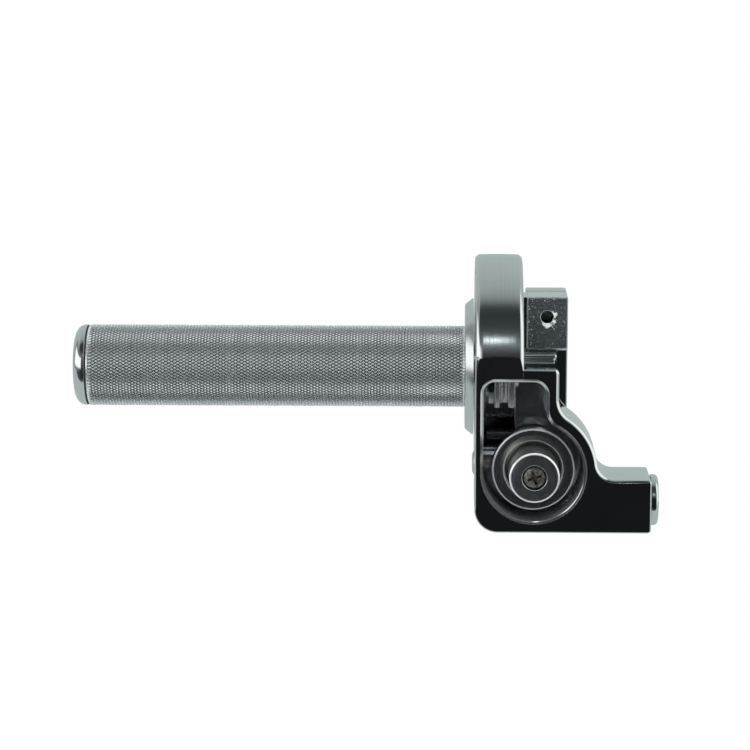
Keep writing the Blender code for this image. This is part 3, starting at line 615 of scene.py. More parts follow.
def turned(name, profile, steps, axis="X", at=(0.0, 0.0, 0.0), matrix=None):
    """Revolves (height, radius) pairs about the axis through `at`. A profile that starts and ends on the axis is left
    open there; any other is closed into a ring."""
    steps *= FINE
    pairs = zip(profile, profile[1:] + profile[:1])
    area = sum(r0 * h1 - r1 * h0 for (h0, r0), (h1, r1) in pairs)
    bm = bmesh.new()
    rings = []
    for height, radius in profile if area < 0 else profile[::-1]:
        points = [(0.0, 0.0, height * MM)]
        if radius:
            turns = [2 * math.pi * i / steps for i in range(steps)]
            points = [
                (radius * MM * math.cos(turn), radius * MM * math.sin(turn), height * MM)
                for turn in turns
            ]
        rings.append([bm.verts.new(point) for point in points])
    following = rings[1:] if len(rings[0]) == 1 else rings[1:] + rings[:1]
    for a, b in zip(rings, following):
        for i in range(steps):
            j = (i + 1) % steps
            if len(a) == 1:
                bm.faces.new((a[0], b[i], b[j]))
            elif len(b) == 1:
                bm.faces.new((a[i], b[0], a[j]))
            else:
                bm.faces.new((a[i], b[i], b[j], a[j]))
    return to_object(name, bm, placed(axis, at) if matrix is None else matrix)


def disc(name, radius, low, high, steps, rim=0.0, **place):
    profile = [(low, 0.0), (low, radius), (high, radius), (high, 0.0)]
    if rim:
        profile[1:2] = [(low, radius - rim), (low + rim, radius)]
        profile[-2:-1] = [(high - rim, radius), (high, radius - rim)]
    return turned(name, profile, steps, **place)


def ring(name, inner, outer, low, high, steps, **place):
    rim = 0.08
    profile = [
        (low, inner + rim),
        (low, outer - rim),
        (low + rim, outer),
        (high - rim, outer),
        (high, outer - rim),
        (high, inner + rim),
        (high - rim, inner),
        (low + rim, inner),
    ]
    return turned(name, profile, steps, **place)


def plate(name, outline, axis, low, high, at=(0.0, 0.0, 0.0), rim=0.0):
    """A flat outline extruded along the axis: (y, z) pairs for X, (x, z) pairs for Y, (x, y) pairs for Z."""
    sign = -1.0 if axis == "Y" else 1.0
    bm = bmesh.new()
    face = bm.faces.new([bm.verts.new((a * MM, b * MM, sign * low * MM)) for a, b in outline])
    made = bmesh.ops.extrude_face_region(bm, geom=[face])
    top = [part for part in made["geom"] if isinstance(part, bmesh.types.BMVert)]
    bmesh.ops.translate(bm, verts=top, vec=(0, 0, sign * (high - low) * MM))
    obj = to_object(name, bm, placed(axis, at))
    if rim:
        bevel = obj.modifiers.new("Bevel", "BEVEL")
        bevel.width = rim * MM
        bevel.segments = 2
        bevel.limit_method = "ANGLE"
        bevel.angle_limit = math.radians(50.0)
        bevel.use_clamp_overlap = True
    return obj


def block(name, x0, x1, y0, y1, z0, z1):
    return plate(name, [(x0, z0), (x1, z0), (x1, z1), (x0, z1)], "Y", y0, y1)


def loft(name, levels):
    """A closed body through loops of (x, y, z) points, every loop with as many points."""
    bm = bmesh.new()
    loops = [[bm.verts.new(shift(*point)) for point in level] for level in levels]
    bm.faces.new(loops[0])
    bm.faces.new(loops[-1])
    for first, second in zip(loops, loops[1:]):
        band(bm, first, second)
    return to_object(name, bm)


def bake(obj):
    """Puts the modifiers into the mesh."""
    bpy.context.view_layer.update()
    graph = bpy.context.evaluated_depsgraph_get()
    mesh = bpy.data.meshes.new_from_object(obj.evaluated_get(graph), depsgraph=graph)
    obj.modifiers.clear()
    obj.data = mesh


def boolean(obj, how, others):
    """Applies the others to the object and removes them."""
    for other in others:
        modifier = obj.modifiers.new("Boolean", "BOOLEAN")
        modifier.operation = how
        modifier.solver = "EXACT"
        modifier.object = other
    bake(obj)
    bm = bmesh.new()
    bm.from_mesh(obj.data)
    bmesh.ops.remove_doubles(bm, verts=bm.verts, dist=MERGE)
    bmesh.ops.dissolve_degenerate(bm, edges=bm.edges, dist=MERGE)
    bm.to_mesh(obj.data)
    bm.free()
    for other in others:
        bpy.data.objects.remove(other, do_unlink=True)


def cut(obj, *others):
    boolean(obj, "DIFFERENCE", others)


def join(obj, *others):
    boolean(obj, "UNION", others)


def around(angle, radius):
    """(y, z) at an angle from the back (+y) upwards."""
    return radius * math.cos(math.radians(angle)), radius * math.sin(math.radians(angle))


def above_front(angle, radius):
    """(y, z) at an angle from the front (-y) upwards."""
    y, z = around(angle, radius)
    return -y, z


def arc(cx, cy, radius, start, end, steps):
    points = [around(start + (end - start) * i / steps, radius) for i in range(steps + 1)]
    return [(cx + x, cy + y) for x, y in points]


def hexagon(radius):
    return arc(0, 0, radius, 0, 300, 5)


def wedge(start, end, parts):
    """A (y, z) fan about the bar, wider than any part of the collar."""
    angles = [start + (end - start) * i / parts for i in range(parts + 1)]
    return [(0.0, 0.0)] + [above_front(angle, 60.0) for angle in angles]


def thread(start, turns, points, pitch=THREAD_PITCH):
    """Ring grooves stand in for a thread: the same (height, radius) points once per pitch."""
    return [
        (start + turn * pitch + height, radius) for turn in range(turns) for height, radius in points
    ]


def keep_flats(mesh, size):
    """Marks the outlines of faces over `size` mm2 sharp, so that a narrow rim doesn't bend their shading."""
    faces_of = [[] for _ in mesh.edges]
    for poly in mesh.polygons:
        for loop in poly.loop_indices:
            faces_of[mesh.loops[loop].edge_index].append(poly)
    for edge, faces in zip(mesh.edges, faces_of):
        if len(faces) == 2 and max(face.area for face in faces) > size * MM * MM:
            if faces[0].normal.dot(faces[1].normal) < math.cos(math.radians(4.5)):
                edge.use_edge_sharp = True


def piece(obj, body, *materials, angle=27.0, pick=lambda poly: 0, flats=0.0):
    """Shades a piece, hangs it on its body and puts it in the place of the node it is named after."""
    mesh = obj.data
    mesh.materials.clear()
    for material in materials:
        mesh.materials.append(material)
    for poly in mesh.polygons:
        poly.use_smooth = True
        poly.material_index = pick(poly)
    mesh.set_sharp_from_angle(angle=math.radians(angle))
    if flats:
        keep_flats(mesh, flats)
    node = obj.name.removesuffix("_look")
    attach(obj, body)
    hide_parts(node)


# ================================================================ housing outlines
def shoulder(right, radius, fillet, steps):
    """The fillet from a vertical right side into a circle about the pulley, and the angle where they meet."""
    dx = right + fillet - PULLEY_X
    dz = math.sqrt((radius + fillet) ** 2 - dx**2)
    meet = math.degrees(math.atan2(dz, dx))
    return arc(right + fillet, PULLEY_Z + dz, fillet, 180.0, 180.0 + meet, steps), meet


def window_outline(inset):
    """(x, z) points of the opening round the pulley, drawn in by the inset."""
    radius = WINDOW_R - inset
    left, right, top = PULLEY_X - radius, WINDOW_RIGHT - inset, WINDOW_TOP - inset
    corner_l, corner_r = 4.7 - inset, 5.0 - inset
    points = [(left, PULLEY_Z)]
    points += arc(left + corner_l, top - corner_l, corner_l, 180.0, 90.0, 10 * FINE)
    points += arc(right - 5.0 + inset, top - 5.0 + inset, corner_r, 90.0, 0.0, 10 * FINE)
    curve, meet = shoulder(right, radius, 6.0 + inset, 10 * FINE)
    points += curve
    points += arc(PULLEY_X, PULLEY_Z, radius, meet, -180.0, 64 * FINE)[1:-1]
    return points


def box_outline():
    """(x, z) points of the box and its arm, clockwise from the upper left."""
    fillet, ledge_corner, arm_corner, foot_corner = 6.0, 1.5, 1.0, 1.2
    dz = ARM_TOP + fillet - PULLEY_Z
    dx = math.sqrt((SHOULDER_R + fillet) ** 2 - dz**2)
    low = math.degrees(math.atan2(dz, dx))
    curve, meet = shoulder(BOX_RIGHT, SHOULDER_R, 8.0, 14 * FINE)
    x_ledge, z_ledge = BOX_RIGHT - ledge_corner, LEDGE_Z - ledge_corner
    points = [(0.0, 9.2), (14.6, 9.2), (14.6, LEDGE_Z)]
    points += arc(x_ledge, z_ledge, ledge_corner, 90.0, 0.0, 6 * FINE)
    points += curve
    points += arc(PULLEY_X, PULLEY_Z, SHOULDER_R, meet, low, 16 * FINE)[1:]
    points += arc(PULLEY_X + dx, ARM_TOP + fillet, fillet, 180.0 + low, 270.0, 12 * FINE)[1:]
    x_foot, z_foot = ARM_END - foot_corner, BOX_BOTTOM + foot_corner
    points += arc(ARM_END - arm_corner, ARM_TOP - arm_corner, arm_corner, 90.0, 0.0, 3 * FINE)
    points += arc(x_foot, z_foot, foot_corner, 0.0, -90.0, 5 * FINE)
    points += arc(CORNER_R, BOX_BOTTOM + CORNER_R, CORNER_R, 270.0, 180.0, 14 * FINE)
    return points


def outward(outline):
    """Unit mitre directions at the points of an (x, z) outline, pointing out of it."""
    following = outline[1:] + outline[:1]
    area = sum(a[0] * b[1] - b[0] * a[1] for a, b in zip(outline, following))
    side = 1.0 if area > 0 else -1.0
    result = []
    for (x0, z0), (x1, z1), (x2, z2) in zip(outline[-1:] + outline[:-1], outline, following):
        in_x, in_z, out_x, out_z = x1 - x0, z1 - z0, x2 - x1, z2 - z1
        in_len, out_len = math.hypot(in_x, in_z), math.hypot(out_x, out_z)
        mitre_x = (in_z / in_len + out_z / out_len) * side
        mitre_z = -(in_x / in_len + out_x / out_len) * side
        size = math.hypot(mitre_x, mitre_z)
        result.append((mitre_x / size, mitre_z / size))
    return result


# ================================================================ housing
def rim_width(x, z, out_x, out_z):
    below_or_left = out_z < -0.25 or out_x < -0.5
    arm_end = x > ARM_END - 2.0 and out_x > 0.6
    top = out_z > 0.9 and z > 0.0
    return LOW_RIM if below_or_left or arm_end or top else RIM


def box_body():
    outline = box_outline()
    normals = outward(outline)
    widths = [rim_width(*point, *normal) for point, normal in zip(outline, normals)]
    for _ in range(10):
        widths = [
            (before + width + after) / 3.0
            for before, width, after in zip(widths[-1:] + widths[:-1], widths, widths[1:] + widths[:1])
        ]
    # y, then the shares of the local rim width that the level is drawn in and set back
    levels = [
        (FRONT_Y, 1.0, 0.0),
        (FRONT_Y, 0.86, 0.05),
        (FRONT_Y, 0.14, 0.72),
        (FRONT_Y, 0.0, 1.0),
        (BOX_BACK_Y - 0.4, 0.0, 0.0),
        (BOX_BACK_Y, 0.4, 0.0),
    ]
    return loft(
        "housing_look",
        [
            [
                (x - out_x * width * share, y + width * depth, z - out_z * width * share)
                for (x, z), (out_x, out_z), width in zip(outline, normals, widths)
            ]
            for y, share, depth in levels
        ],
    )


def collar_blank():
    """The collar's solid disc, its band polished very slightly barrel-shaped."""
    edge = COLLAR_RIM
    # depth from the end face, radius
    rounding = [
        (0.0, 0.0),
        (0.0, COLLAR_R - edge),
        (0.12 * edge, COLLAR_R - 0.72 * edge),
        (0.72 * edge, COLLAR_R - 0.12 * edge - 0.10),
    ]
    length = COLLAR_X1 - COLLAR_X0 - 2 * edge
    profile = [(COLLAR_X0 + depth, radius) for depth, radius in rounding]
    for share in (i / 10 for i in range(11)):
        sag = 0.13 * (2.0 * share - 1.0) ** 2
        profile.append((COLLAR_X0 + edge + length * share, COLLAR_R - sag))
    profile += [(COLLAR_X1 - depth, radius) for depth, radius in reversed(rounding)]
    return turned("collar", profile, steps=150)


def clamp_front():
    outline = [
        (PAD_Y, CLAMP_Z),
        (SPLIT_Y, CLAMP_Z),
        (SPLIT_Y, -CLAMP_Z),
        (STRIP_Y, -CLAMP_Z),
        (STRIP_Y, PAD_BOTTOM),
        (PAD_Y, PAD_BOTTOM),
    ]
    clamp = plate("clamp_front", outline, "X", CLAMP_X0, CLAMP_X1, rim=CLAMP_RIM)
    bake(clamp)
    return clamp


def join_solids(housing):
    collar = collar_blank()
    clamp = clamp_front()
    web = block("web", COLLAR_X1 - 1.0, CLAMP_X0 + 1.0, -13.2, SPLIT_Y - 0.4, -25.2, 25.2)
    # rounded lip along the back of the ledge, with a groove between it and the pad
    lip_at = (0, -14.75, LEDGE_Z + 0.75)
    lip = disc("lip", 1.05, 15.0, BOX_RIGHT - 0.15, at=lip_at, steps=32, rim=0.45)
    join(housing, collar, clamp, web, lip)
    cut(
        housing,
        block("front_plane", -2.0, 16.6, -50.0, FRONT_Y - 0.02, -12.0, 12.0),
        plate("front_rim", [(-2.0, -33.84), (2.0, -37.84), (-2.0, -37.84)], "Z", -9.6, 8.4),
        block("lip_groove", CLAMP_X0 - 1.0, BOX_RIGHT + 0.1, -16.5, -11.6, 7.15, 8.1),
    )


def cut_hollow(housing):
    """The cover's seat, the drum's cavity, the right washer's seat and the bar's bore."""
    profile = [
        (-1.0, 0.0),
        (-1.0, COVER_R + 0.15),
        (CAVITY_X0, COVER_R + 0.15),
        (CAVITY_X0, CAVITY_R),
        (CAVITY_X1, CAVITY_R),
        (CAVITY_X1, 19.3),
        (CAVITY_X1 + 1.0, 19.3),
        (CAVITY_X1 + 1.0, BORE_R),
        (CLAMP_X1 - 0.5, BORE_R),
        (CLAMP_X1 + 0.5, BORE_R + 1.0),
        (CLAMP_X1 + 2.0, BORE_R + 1.0),
        (CLAMP_X1 + 2.0, 0.0),
    ]
    cut(housing, turned("hollow", profile, steps=110))


def add_bosses(housing):
    for i, angle in enumerate(COVER_SCREW_ANGLES):
        at = (0, *around(angle, COVER_SCREW_RING))
        join(housing, disc(f"boss_{i}", 3.0, CAVITY_X0 + 0.05, CAVITY_X1 + 1.0, at=at, steps=28))
        cut(housing, disc(f"boss_hole_{i}", 1.55, CAVITY_X0 - 1.0, 10.0, at=at, steps=20))


def cut_window(housing):
    """A sloping bevel all round, then the pocket with a small fillet at its floor."""
    # y, inset
    levels = [
        (FRONT_Y - 2.0, 0.0),
        (FRONT_Y + 0.10, 0.0),
        (FRONT_Y + 0.22, 0.12),
        (FRONT_Y + 0.55, REBATE_W - 0.10),
        (FRONT_Y + 0.68, REBATE_W),
        (FLOOR_Y - 0.35, REBATE_W),
        (FLOOR_Y - 0.10, REBATE_W + 0.10),
        (FLOOR_Y, REBATE_W + 0.35),
    ]
    loops = [[(x, y, z) for x, z in window_outline(inset)] for y, inset in levels]
    cut(housing, loft("window", loops))


def cut_bores(housing):
    bore = [
        (36.0, 0.0),
        (36.0, 5.15),
        (ARM_END - 0.5, 5.15),
        (ARM_END + 0.5, 6.15),
        (59.0, 6.15),
        (59.0, 0.0),
    ]
    cut(
        housing,
        disc("post_hole", 2.15, 13.0, 20.0, axis="Y", at=POST, steps=24),
        disc("keeper_face", 4.6, -2.0, 1.2, at=KEEPER, steps=32),
        disc("keeper_hole", 2.65, -1.0, 4.5, at=KEEPER, steps=28),
        disc("cable_passage", 2.4, 27.0, 38.0, at=ADJUSTER, steps=28),
        turned("adjuster_bore", bore, at=ADJUSTER, steps=48),
    )


def cut_bolt_holes(housing):
    """Tapped holes, each with its own front mouth."""
    upper_mouth = [(13.9, 2.1), (14.35, 2.12), (14.55, 2.3), (16.0, 2.3), (16.0, 0.0)]
    lower_mouth = [(13.2, 2.5), (14.55, 2.9), (16.0, 2.9), (16.0, 0.0)]
    for sign, mouth in ((1, upper_mouth), (-1, lower_mouth)):
        profile = [(-4.0, 0.0), (-4.0, 2.65)]
        profile += thread(-4.0, 21, [(0.4, 2.35), (0.8, 2.72)])
        at = (BOLT_X, 0, sign * BOLT_Z)
        cut(housing, turned(f"bolt_hole_{sign}", profile + mouth, axis="Y", at=at, steps=32))


def cut_pin_holes(housing):
    for angle in STOP_PINS.values():
        at = (0, *above_front(angle, STOP_RING))
        name = f"pin_hole_{int(angle)}"
        cut(housing, disc(name, 1.96, CAVITY_X1 - 0.5, 15.0, at=at, steps=24))


# the housing's material slots
BAND, FLAT, PAD, INSIDE, TORN, POCKET, THREAD = range(7)


def housing_finish(poly):
    """The material slot of a face of the housing, by its place and direction."""
    centre, normal = poly.center, poly.normal
    x, y, z = centre.x / MM - GRIP_END, centre.y / MM, centre.z / MM
    radius = math.hypot(y, z)
    from_bolt = math.hypot(x - BOLT_X, abs(z) - BOLT_Z)
    if from_bolt < 2.5 and y < -14.2 and z > 0 and abs(normal.y) < 0.98:
        return TORN
    if x > CLAMP_X0 - 0.1 and z > 8.0 and normal.y < -0.9 and y < PAD_Y + 0.6:
        return PAD
    if from_bolt < 2.9 and poly.area < 15.0 * MM * MM:
        return THREAD
    if CAVITY_X0 - 0.1 < x < CAVITY_X1 + 1.1 and radius < COVER_R + 0.3 and y > FRONT_Y + 1.0:
        return INSIDE
    in_depth = FRONT_Y + REBATE_D + 0.2 < y < FLOOR_Y + 0.3
    if in_depth and 2.0 < x < 36.0 and -45.0 < z < 1.5:
        if abs(normal.y) > 0.8:
            return INSIDE
        if normal.x * (PULLEY_X - x) + normal.z * (PULLEY_Z - z) > 0:
            return POCKET
    if radius > COLLAR_R - COLLAR_RIM - 0.3 and x < COLLAR_X1 + 0.1 and y > FRONT_Y - 1.3:
        return BAND
    return FLAT


def build_housing():
    housing = box_body()
    join_solids(housing)
    cut_hollow(housing)
    add_bosses(housing)
    cut_window(housing)
    cut_bores(housing)
    cut_bolt_holes(housing)
    cut_pin_holes(housing)
    slots = (polish_bar, polish_flat, milled_face, inside, burr, pocket_wall, thread_dark)
    piece(housing, "housing", *slots, pick=housing_finish, flats=2.0)


# ================================================================ collar cover, screws, washers, pins
def build_cover():
    back = CAVITY_X0 - 0.1
    cover = turned(
        "collar_cover_look",
        [
            (COLLAR_X0, 15.1),
            (COLLAR_X0, COVER_R - 0.35),
            (COLLAR_X0 + 0.35, COVER_R),
            (back, COVER_R),
            (back, 15.1),
        ],
        steps=130,
    )
    sink = [(-1.0, 0.0), (-1.0, 3.0), (0.45, 3.0), (1.85, 1.6), (3.5, 1.6), (3.5, 0.0)]
    countersunk = [
        (0.35, 0.0), (0.35, 2.68), (0.42, 2.75), (0.6, 2.75),
        (1.95, 1.42), (8.6, 1.42), (9.2, 0.9), (9.2, 0.0),
    ]
    for i, angle in enumerate(COVER_SCREW_ANGLES, 1):
        at = (0, *around(angle, COVER_SCREW_RING))
        cut(cover, turned(f"sink_{i}", sink, at=at, steps=32))
        screw = turned(f"cover_screw_{i}_look", countersunk, at=at, steps=32)
        cut(screw, plate(f"socket_{i}", hexagon(1.15), "X", -0.5, 1.3, at=at))
        piece(screw, "housing", plated)
    cut(cover, disc("scallop", 4.8, -2.0, 4.0, at=KEEPER, steps=32))
    piece(cover, "housing", polish_cone)


def build_collar_rings():
    # name, inner and outer radius, left and right end, facets
    rings = [
        ("collar_bush", SPIGOT_R + 0.1, 15.0, 0.3, 2.3, 80),
        ("thrust_washer_left", SPIGOT_R + 0.3, 16.8, CAVITY_X0, CAVITY_X0 + 0.6, 72),
        ("thrust_washer_right", SPIGOT_R + 0.6, 19.1, CAVITY_X1 - 0.15, CAVITY_X1 + 0.9, 72),
    ]
    for name, *sizes in rings:
        piece(ring(name + "_look", *sizes), "housing", acetal)


def build_stop_pins():
    for name, angle in STOP_PINS.items():
        at = (0, *above_front(angle, STOP_RING))
        pin = disc(name + "_look", 1.9, 4.2, 14.9, at=at, steps=28, rim=0.3)
        piece(pin, "housing", plated_keeper)


# ================================================================ grip tube
def add_knurling(bm, x0, x1):
    """Two crossing sets of grooves cut the surface into long diamonds, each a low pyramid with a flat top."""
    around_count = 79
    columns = int((x1 - x0) / 1.985)
    half_x, half_turn = (x1 - x0) / columns / 2, math.pi / around_count
    flat = 0.14  # share of a diamond that is flat
    crossing = {}

    def vertex(x, turn, radius):
        return bm.verts.new(shift(x, radius * math.sin(turn), radius * math.cos(turn)))

    def corner(i, j):
        """The groove crossing i half columns and j half turns along."""
        j %= 2 * around_count
        if (i, j) not in crossing:
            radius = KNURL_FLOOR_R if 0 < i < 2 * columns else TUBE_R - 0.12
            crossing[(i, j)] = vertex(x0 + i * half_x, j * half_turn, radius)
        return crossing[(i, j)]

    for i in range(2 * columns + 1):
        for j in range(i % 2, 2 * around_count, 2):
            x, turn = x0 + i * half_x, j * half_turn
            if i in (0, 2 * columns):
                # half diamonds close the ends of the pattern
                tip = corner(i + (1 if i == 0 else -1), j)
                up, down = corner(i, j + 1), corner(i, j - 1)
                middle = vertex(x, turn, TUBE_R - 0.05)
                bm.faces.new((middle, up, tip))
                bm.faces.new((middle, tip, down))
                continue
            base = [corner(i - 1, j), corner(i, j - 1), corner(i + 1, j), corner(i, j + 1)]
            top = [
                vertex(x - flat * half_x, turn, TUBE_R),
                vertex(x, turn - flat * half_turn, TUBE_R),
                vertex(x + flat * half_x, turn, TUBE_R),
                vertex(x, turn + flat * half_turn, TUBE_R),
            ]
            bm.faces.new(top)
            band(bm, base, top)


def turn_of(vert):
    """Angle about the bar; the modulus falls just short of a full turn, so that the start sorts first."""
    return math.atan2(vert.co.y, vert.co.z) % (2 * math.pi - 1e-5)


def extend(bm, start, profile):
    """Carries a loop of vertices on through (x, radius) stations and returns the last loop."""
    turns = [turn_of(vert) for vert in start]
    for x, radius in profile:
        following = [
            bm.verts.new(shift(x, radius * math.sin(turn), radius * math.cos(turn)))
            for turn in turns
        ]
        band(bm, start, following)
        start = following
    return start


def tube_finish(poly):
    """1 for the plain spigot and bore, 0 for the knurled outside."""
    centre = poly.center
    spigot = centre.x / MM - GRIP_END > KNURL_X1 - 0.05
    return 1 if spigot or math.hypot(centre.y, centre.z) / MM < 13.05 else 0


def build_tube():
    x0, x1 = KNURL_X0 + 0.55, KNURL_X1 - 0.25
    bm = bmesh.new()
    add_knurling(bm, x0, x1)
    # plain ends, bore and spigot close the body
    ends = {vert for edge in bm.edges if len(edge.link_faces) == 1 for vert in edge.verts}
    middle = shift(0.5 * (x0 + x1), 0, 0)[0]
    left = sorted((vert for vert in ends if vert.co.x < middle), key=turn_of)
    right = sorted((vert for vert in ends if vert.co.x > middle), key=turn_of)
    left_profile = [
        (KNURL_X0 + 0.35, TUBE_R - 0.12),
        (KNURL_X0 + 0.12, TUBE_R - 0.2),
        (KNURL_X0, TUBE_R - 0.4),
        (KNURL_X0, TUBE_IN_R),
    ]
    right_profile = [
        (KNURL_X1 - 0.1, TUBE_R - 0.12),
        (KNURL_X1, TUBE_R - 0.25),
        (KNURL_X1, SPIGOT_R),
        (SPIGOT_END - 0.4, SPIGOT_R),
        (SPIGOT_END, SPIGOT_R - 0.4),
        (SPIGOT_END, TUBE_IN_R),
    ]
    inner_left = extend(bm, left, left_profile)
    band(bm, inner_left, extend(bm, right, right_profile))
    tube = to_object("grip_tube_look", bm)
    piece(tube, "throttle_tube", knurl, polish_cone, angle=40.0, pick=tube_finish)
    for poly in tube.data.polygons:
        if poly.material_index == 0:
            poly.use_smooth = False


def build_end_cap():
    """A nearly flat crown that rolls over a 4 mm edge into the side."""
    profile = [(-GRIP_END, 0.0), (-GRIP_END, 4.0), (-132.93, 6.2), (-132.78, 7.8)]
    for turn in (math.radians(angle) for angle in range(76, -1, -4)):
        profile.append((-129.35 - 3.40 * math.sin(turn), 9.35 + 4.05 * math.cos(turn)))
    profile += [
        (-128.78, 13.42), (-128.7, 13.34), (-128.7, 12.0),
        (-120.4, 12.0), (-120.0, 11.6), (-120.0, 0.0),
    ]
    cap = turned("tube_end_cap_look", profile, steps=110)
    piece(cap, "throttle_tube", polish_cap, angle=32.0)
    seal = ring("end_cap_seal_look", TUBE_IN_R, 13.2, -128.65, -128.25, steps=90)
    piece(seal, "throttle_tube", rubber)


def build_flange():
    profile = [
        (-3.08, 13.05), (-3.08, 20.5), (-2.98, 20.75), (-2.75, 20.95), (-0.75, 22.55),
        (-0.5, 22.7), (-0.32, 22.55), (-0.3, 22.3), (-0.3, 13.05),
    ]
    piece(turned("tube_flange_look", profile, steps=120), "throttle_tube", polish_cone)


def build_tube_bushes():
    for name, left in (("tube_bush_outer", -119.5), ("tube_bush_inner", -8.0)):
        radii = (BAR_R + 0.2, TUBE_IN_R - 0.05)
        bush = ring(name + "_look", *radii, left, left + 20.0, steps=64)
        piece(bush, "throttle_tube", acetal)


# ================================================================ cable drum
def drum_hub():
    left, right = CAVITY_X0 + 0.8, DRUM_X1 - 0.15
    profile = [
        (left, SPIGOT_R + 0.05),
        (left, HUBRING_R - 0.4),
        (left + 0.4, HUBRING_R),
        (right - 0.4, HUBRING_R),
        (right, HUBRING_R - 0.4),
        (right, SPIGOT_R + 0.05),
    ]
    return turned("cable_drum_look", profile, steps=53)


def drum_sector():
    """The grooved part of the rim."""
    profile = [
        (DRUM_X0, HUBRING_R - 2.0),
        (DRUM_X0, DRUM_R - 0.3),
        (DRUM_X0 + 0.3, DRUM_R),
        (7.9, DRUM_R),
        (8.1, DRUM_R - 0.2),
        (8.45, DRUM_GROOVE_R + 0.6),
        (8.7, DRUM_GROOVE_R + 0.2),
        (9.15, DRUM_GROOVE_R),
        (9.85, DRUM_GROOVE_R),
        (10.3, DRUM_GROOVE_R + 0.2),
        (10.55, DRUM_GROOVE_R + 0.6),
        (10.9, DRUM_R - 0.2),
        (11.1, DRUM_R),
        (DRUM_X1 - 0.3, DRUM_R),
        (DRUM_X1, DRUM_R - 0.3),
        (DRUM_X1, HUBRING_R - 2.0),
    ]
    sector = turned("sector", profile, steps=91)
    fan = plate("fan", wedge(SECTOR_FROM, SECTOR_TO, 6), "X", DRUM_X0 - 2.0, DRUM_X1 + 2.0)
    boolean(sector, "INTERSECT", [fan])
    return sector


def drum_lug():
    """The raised lug on the left of the sector's lower end."""
    left, right, inner, outer = 4.3, DRUM_X0 + 0.5, HUBRING_R - 1.0, 24.5
    profile = [
        (left, inner),
        (left, outer - 0.25),
        (left + 0.25, outer),
        (right, outer),
        (right, inner),
    ]
    lug = turned("lug", profile, steps=70)
    fan = wedge(SECTOR_FROM + 0.4, SECTOR_FROM + 10.0, 2)
    boolean(lug, "INTERSECT", [plate("lug_fan", fan, "X", 3.0, DRUM_X0 + 2.0)])
    return lug


def add_set_screws(drum):
    for i, angle in enumerate((45.0, -60.0), 1):
        lay = Matrix.Translation(shift(4.9, 0, 0)) @ Matrix.Rotation(math.radians(angle), 4, "X")
        cut(drum, disc(f"set_hole_{i}", 1.35, 12.0, 19.0, steps=20, matrix=lay))
        name = f"drum_set_screw_{i}_look"
        screw = disc(name, 1.25, 13.2, 16.8, steps=20, rim=0.2, matrix=lay)
        # the socket stays six-sided at any fineness
        cut(screw, disc(f"set_socket_{i}", 0.65, 15.6, 19.0, steps=6 // FINE, matrix=lay))
        piece(screw, "throttle_tube", black_oxide)


def drum_finish(poly):
    """1 for the narrow sloping edges, 0 elsewhere."""
    return 1 if 0.15 < abs(poly.normal.x) < 0.97 and poly.area < 6.0 * MM * MM else 0


def build_drum():
    drum = drum_hub()
    sector = drum_sector()
    join(drum, sector, drum_lug())
    pocket_at = (0, *above_front(84.0, DRUM_GROOVE_R - 2.2))
    cut(drum, disc("nipple_pocket", 2.6, 5.0, 11.4, at=pocket_at, steps=24))
    add_set_screws(drum)
    piece(drum, "throttle_tube", drum_metal, drum_edge_highlight, pick=drum_finish)


# ================================================================ clamp cap and bolts
def build_clamp_cap():
    reach = 90.0 - math.degrees(math.asin(CAP_Y1 / CAP_ROUND_R))
    y, z = CAP_Y1 - CAP_CORNER, CLAMP_Z - CAP_CORNER
    outline = [(CAP_Y0, -CLAMP_Z), (CAP_Y0, CLAMP_Z)]
    outline += arc(y, z, CAP_CORNER, 90.0, 0.0, 6)
    outline += arc(0.0, 0.0, CAP_ROUND_R, reach, -reach, 30 * FINE)
    outline += arc(y, -z, CAP_CORNER, 0.0, -90.0, 6)
    cap = plate("clamp_cap_look", outline, "X", CLAMP_X0, CLAMP_X1, rim=CLAMP_RIM)
    bore = disc("cap_bore", BORE_R, CLAMP_X0 - 2.0, CLAMP_X1 + 2.0, steps=90)
    holes = []
    for sign in (1, -1):
        at = (BOLT_X, 0, sign * BOLT_Z)
        holes.append(disc(f"cap_hole_{sign}", 2.75, -12.0, 2.0, axis="Y", at=at, steps=28))
    cut(cap, bore, *holes)
    piece(cap, "housing", polish_flat)


def build_clamp_bolts():
    """The heads are at the back; height runs forwards."""
    profile = [
        (-13.6, 0.0), (-13.6, 3.85), (-13.48, 4.1), (-13.2, 4.25),
        (-8.85, 4.25), (-8.7, 4.1), (-8.7, 2.5), (0.0, 2.5),
    ]
    profile += thread(0.0, 10, [(0.4, 2.15), (0.8, 2.5)])
    profile += [(8.7, 1.9), (8.8, 0.0)]
    for sign, tag in ((1, "upper"), (-1, "lower")):
        at = (BOLT_X, 0, sign * BOLT_Z)
        bolt = turned(f"clamp_bolt_{tag}_look", profile, axis="Y", at=at, steps=40)
        cut(bolt, plate(f"bolt_socket_{tag}", hexagon(2.3), "Y", -15.0, -11.0, at=at))
        piece(bolt, "housing", plated)


# ================================================================ pulley
def hub_finish(poly):
    """0 for end faces, 1 for sides, 2 for rims."""
    facing = abs(poly.normal.y)
    return 0 if facing > 0.99 else (1 if facing < 0.10 else 2)


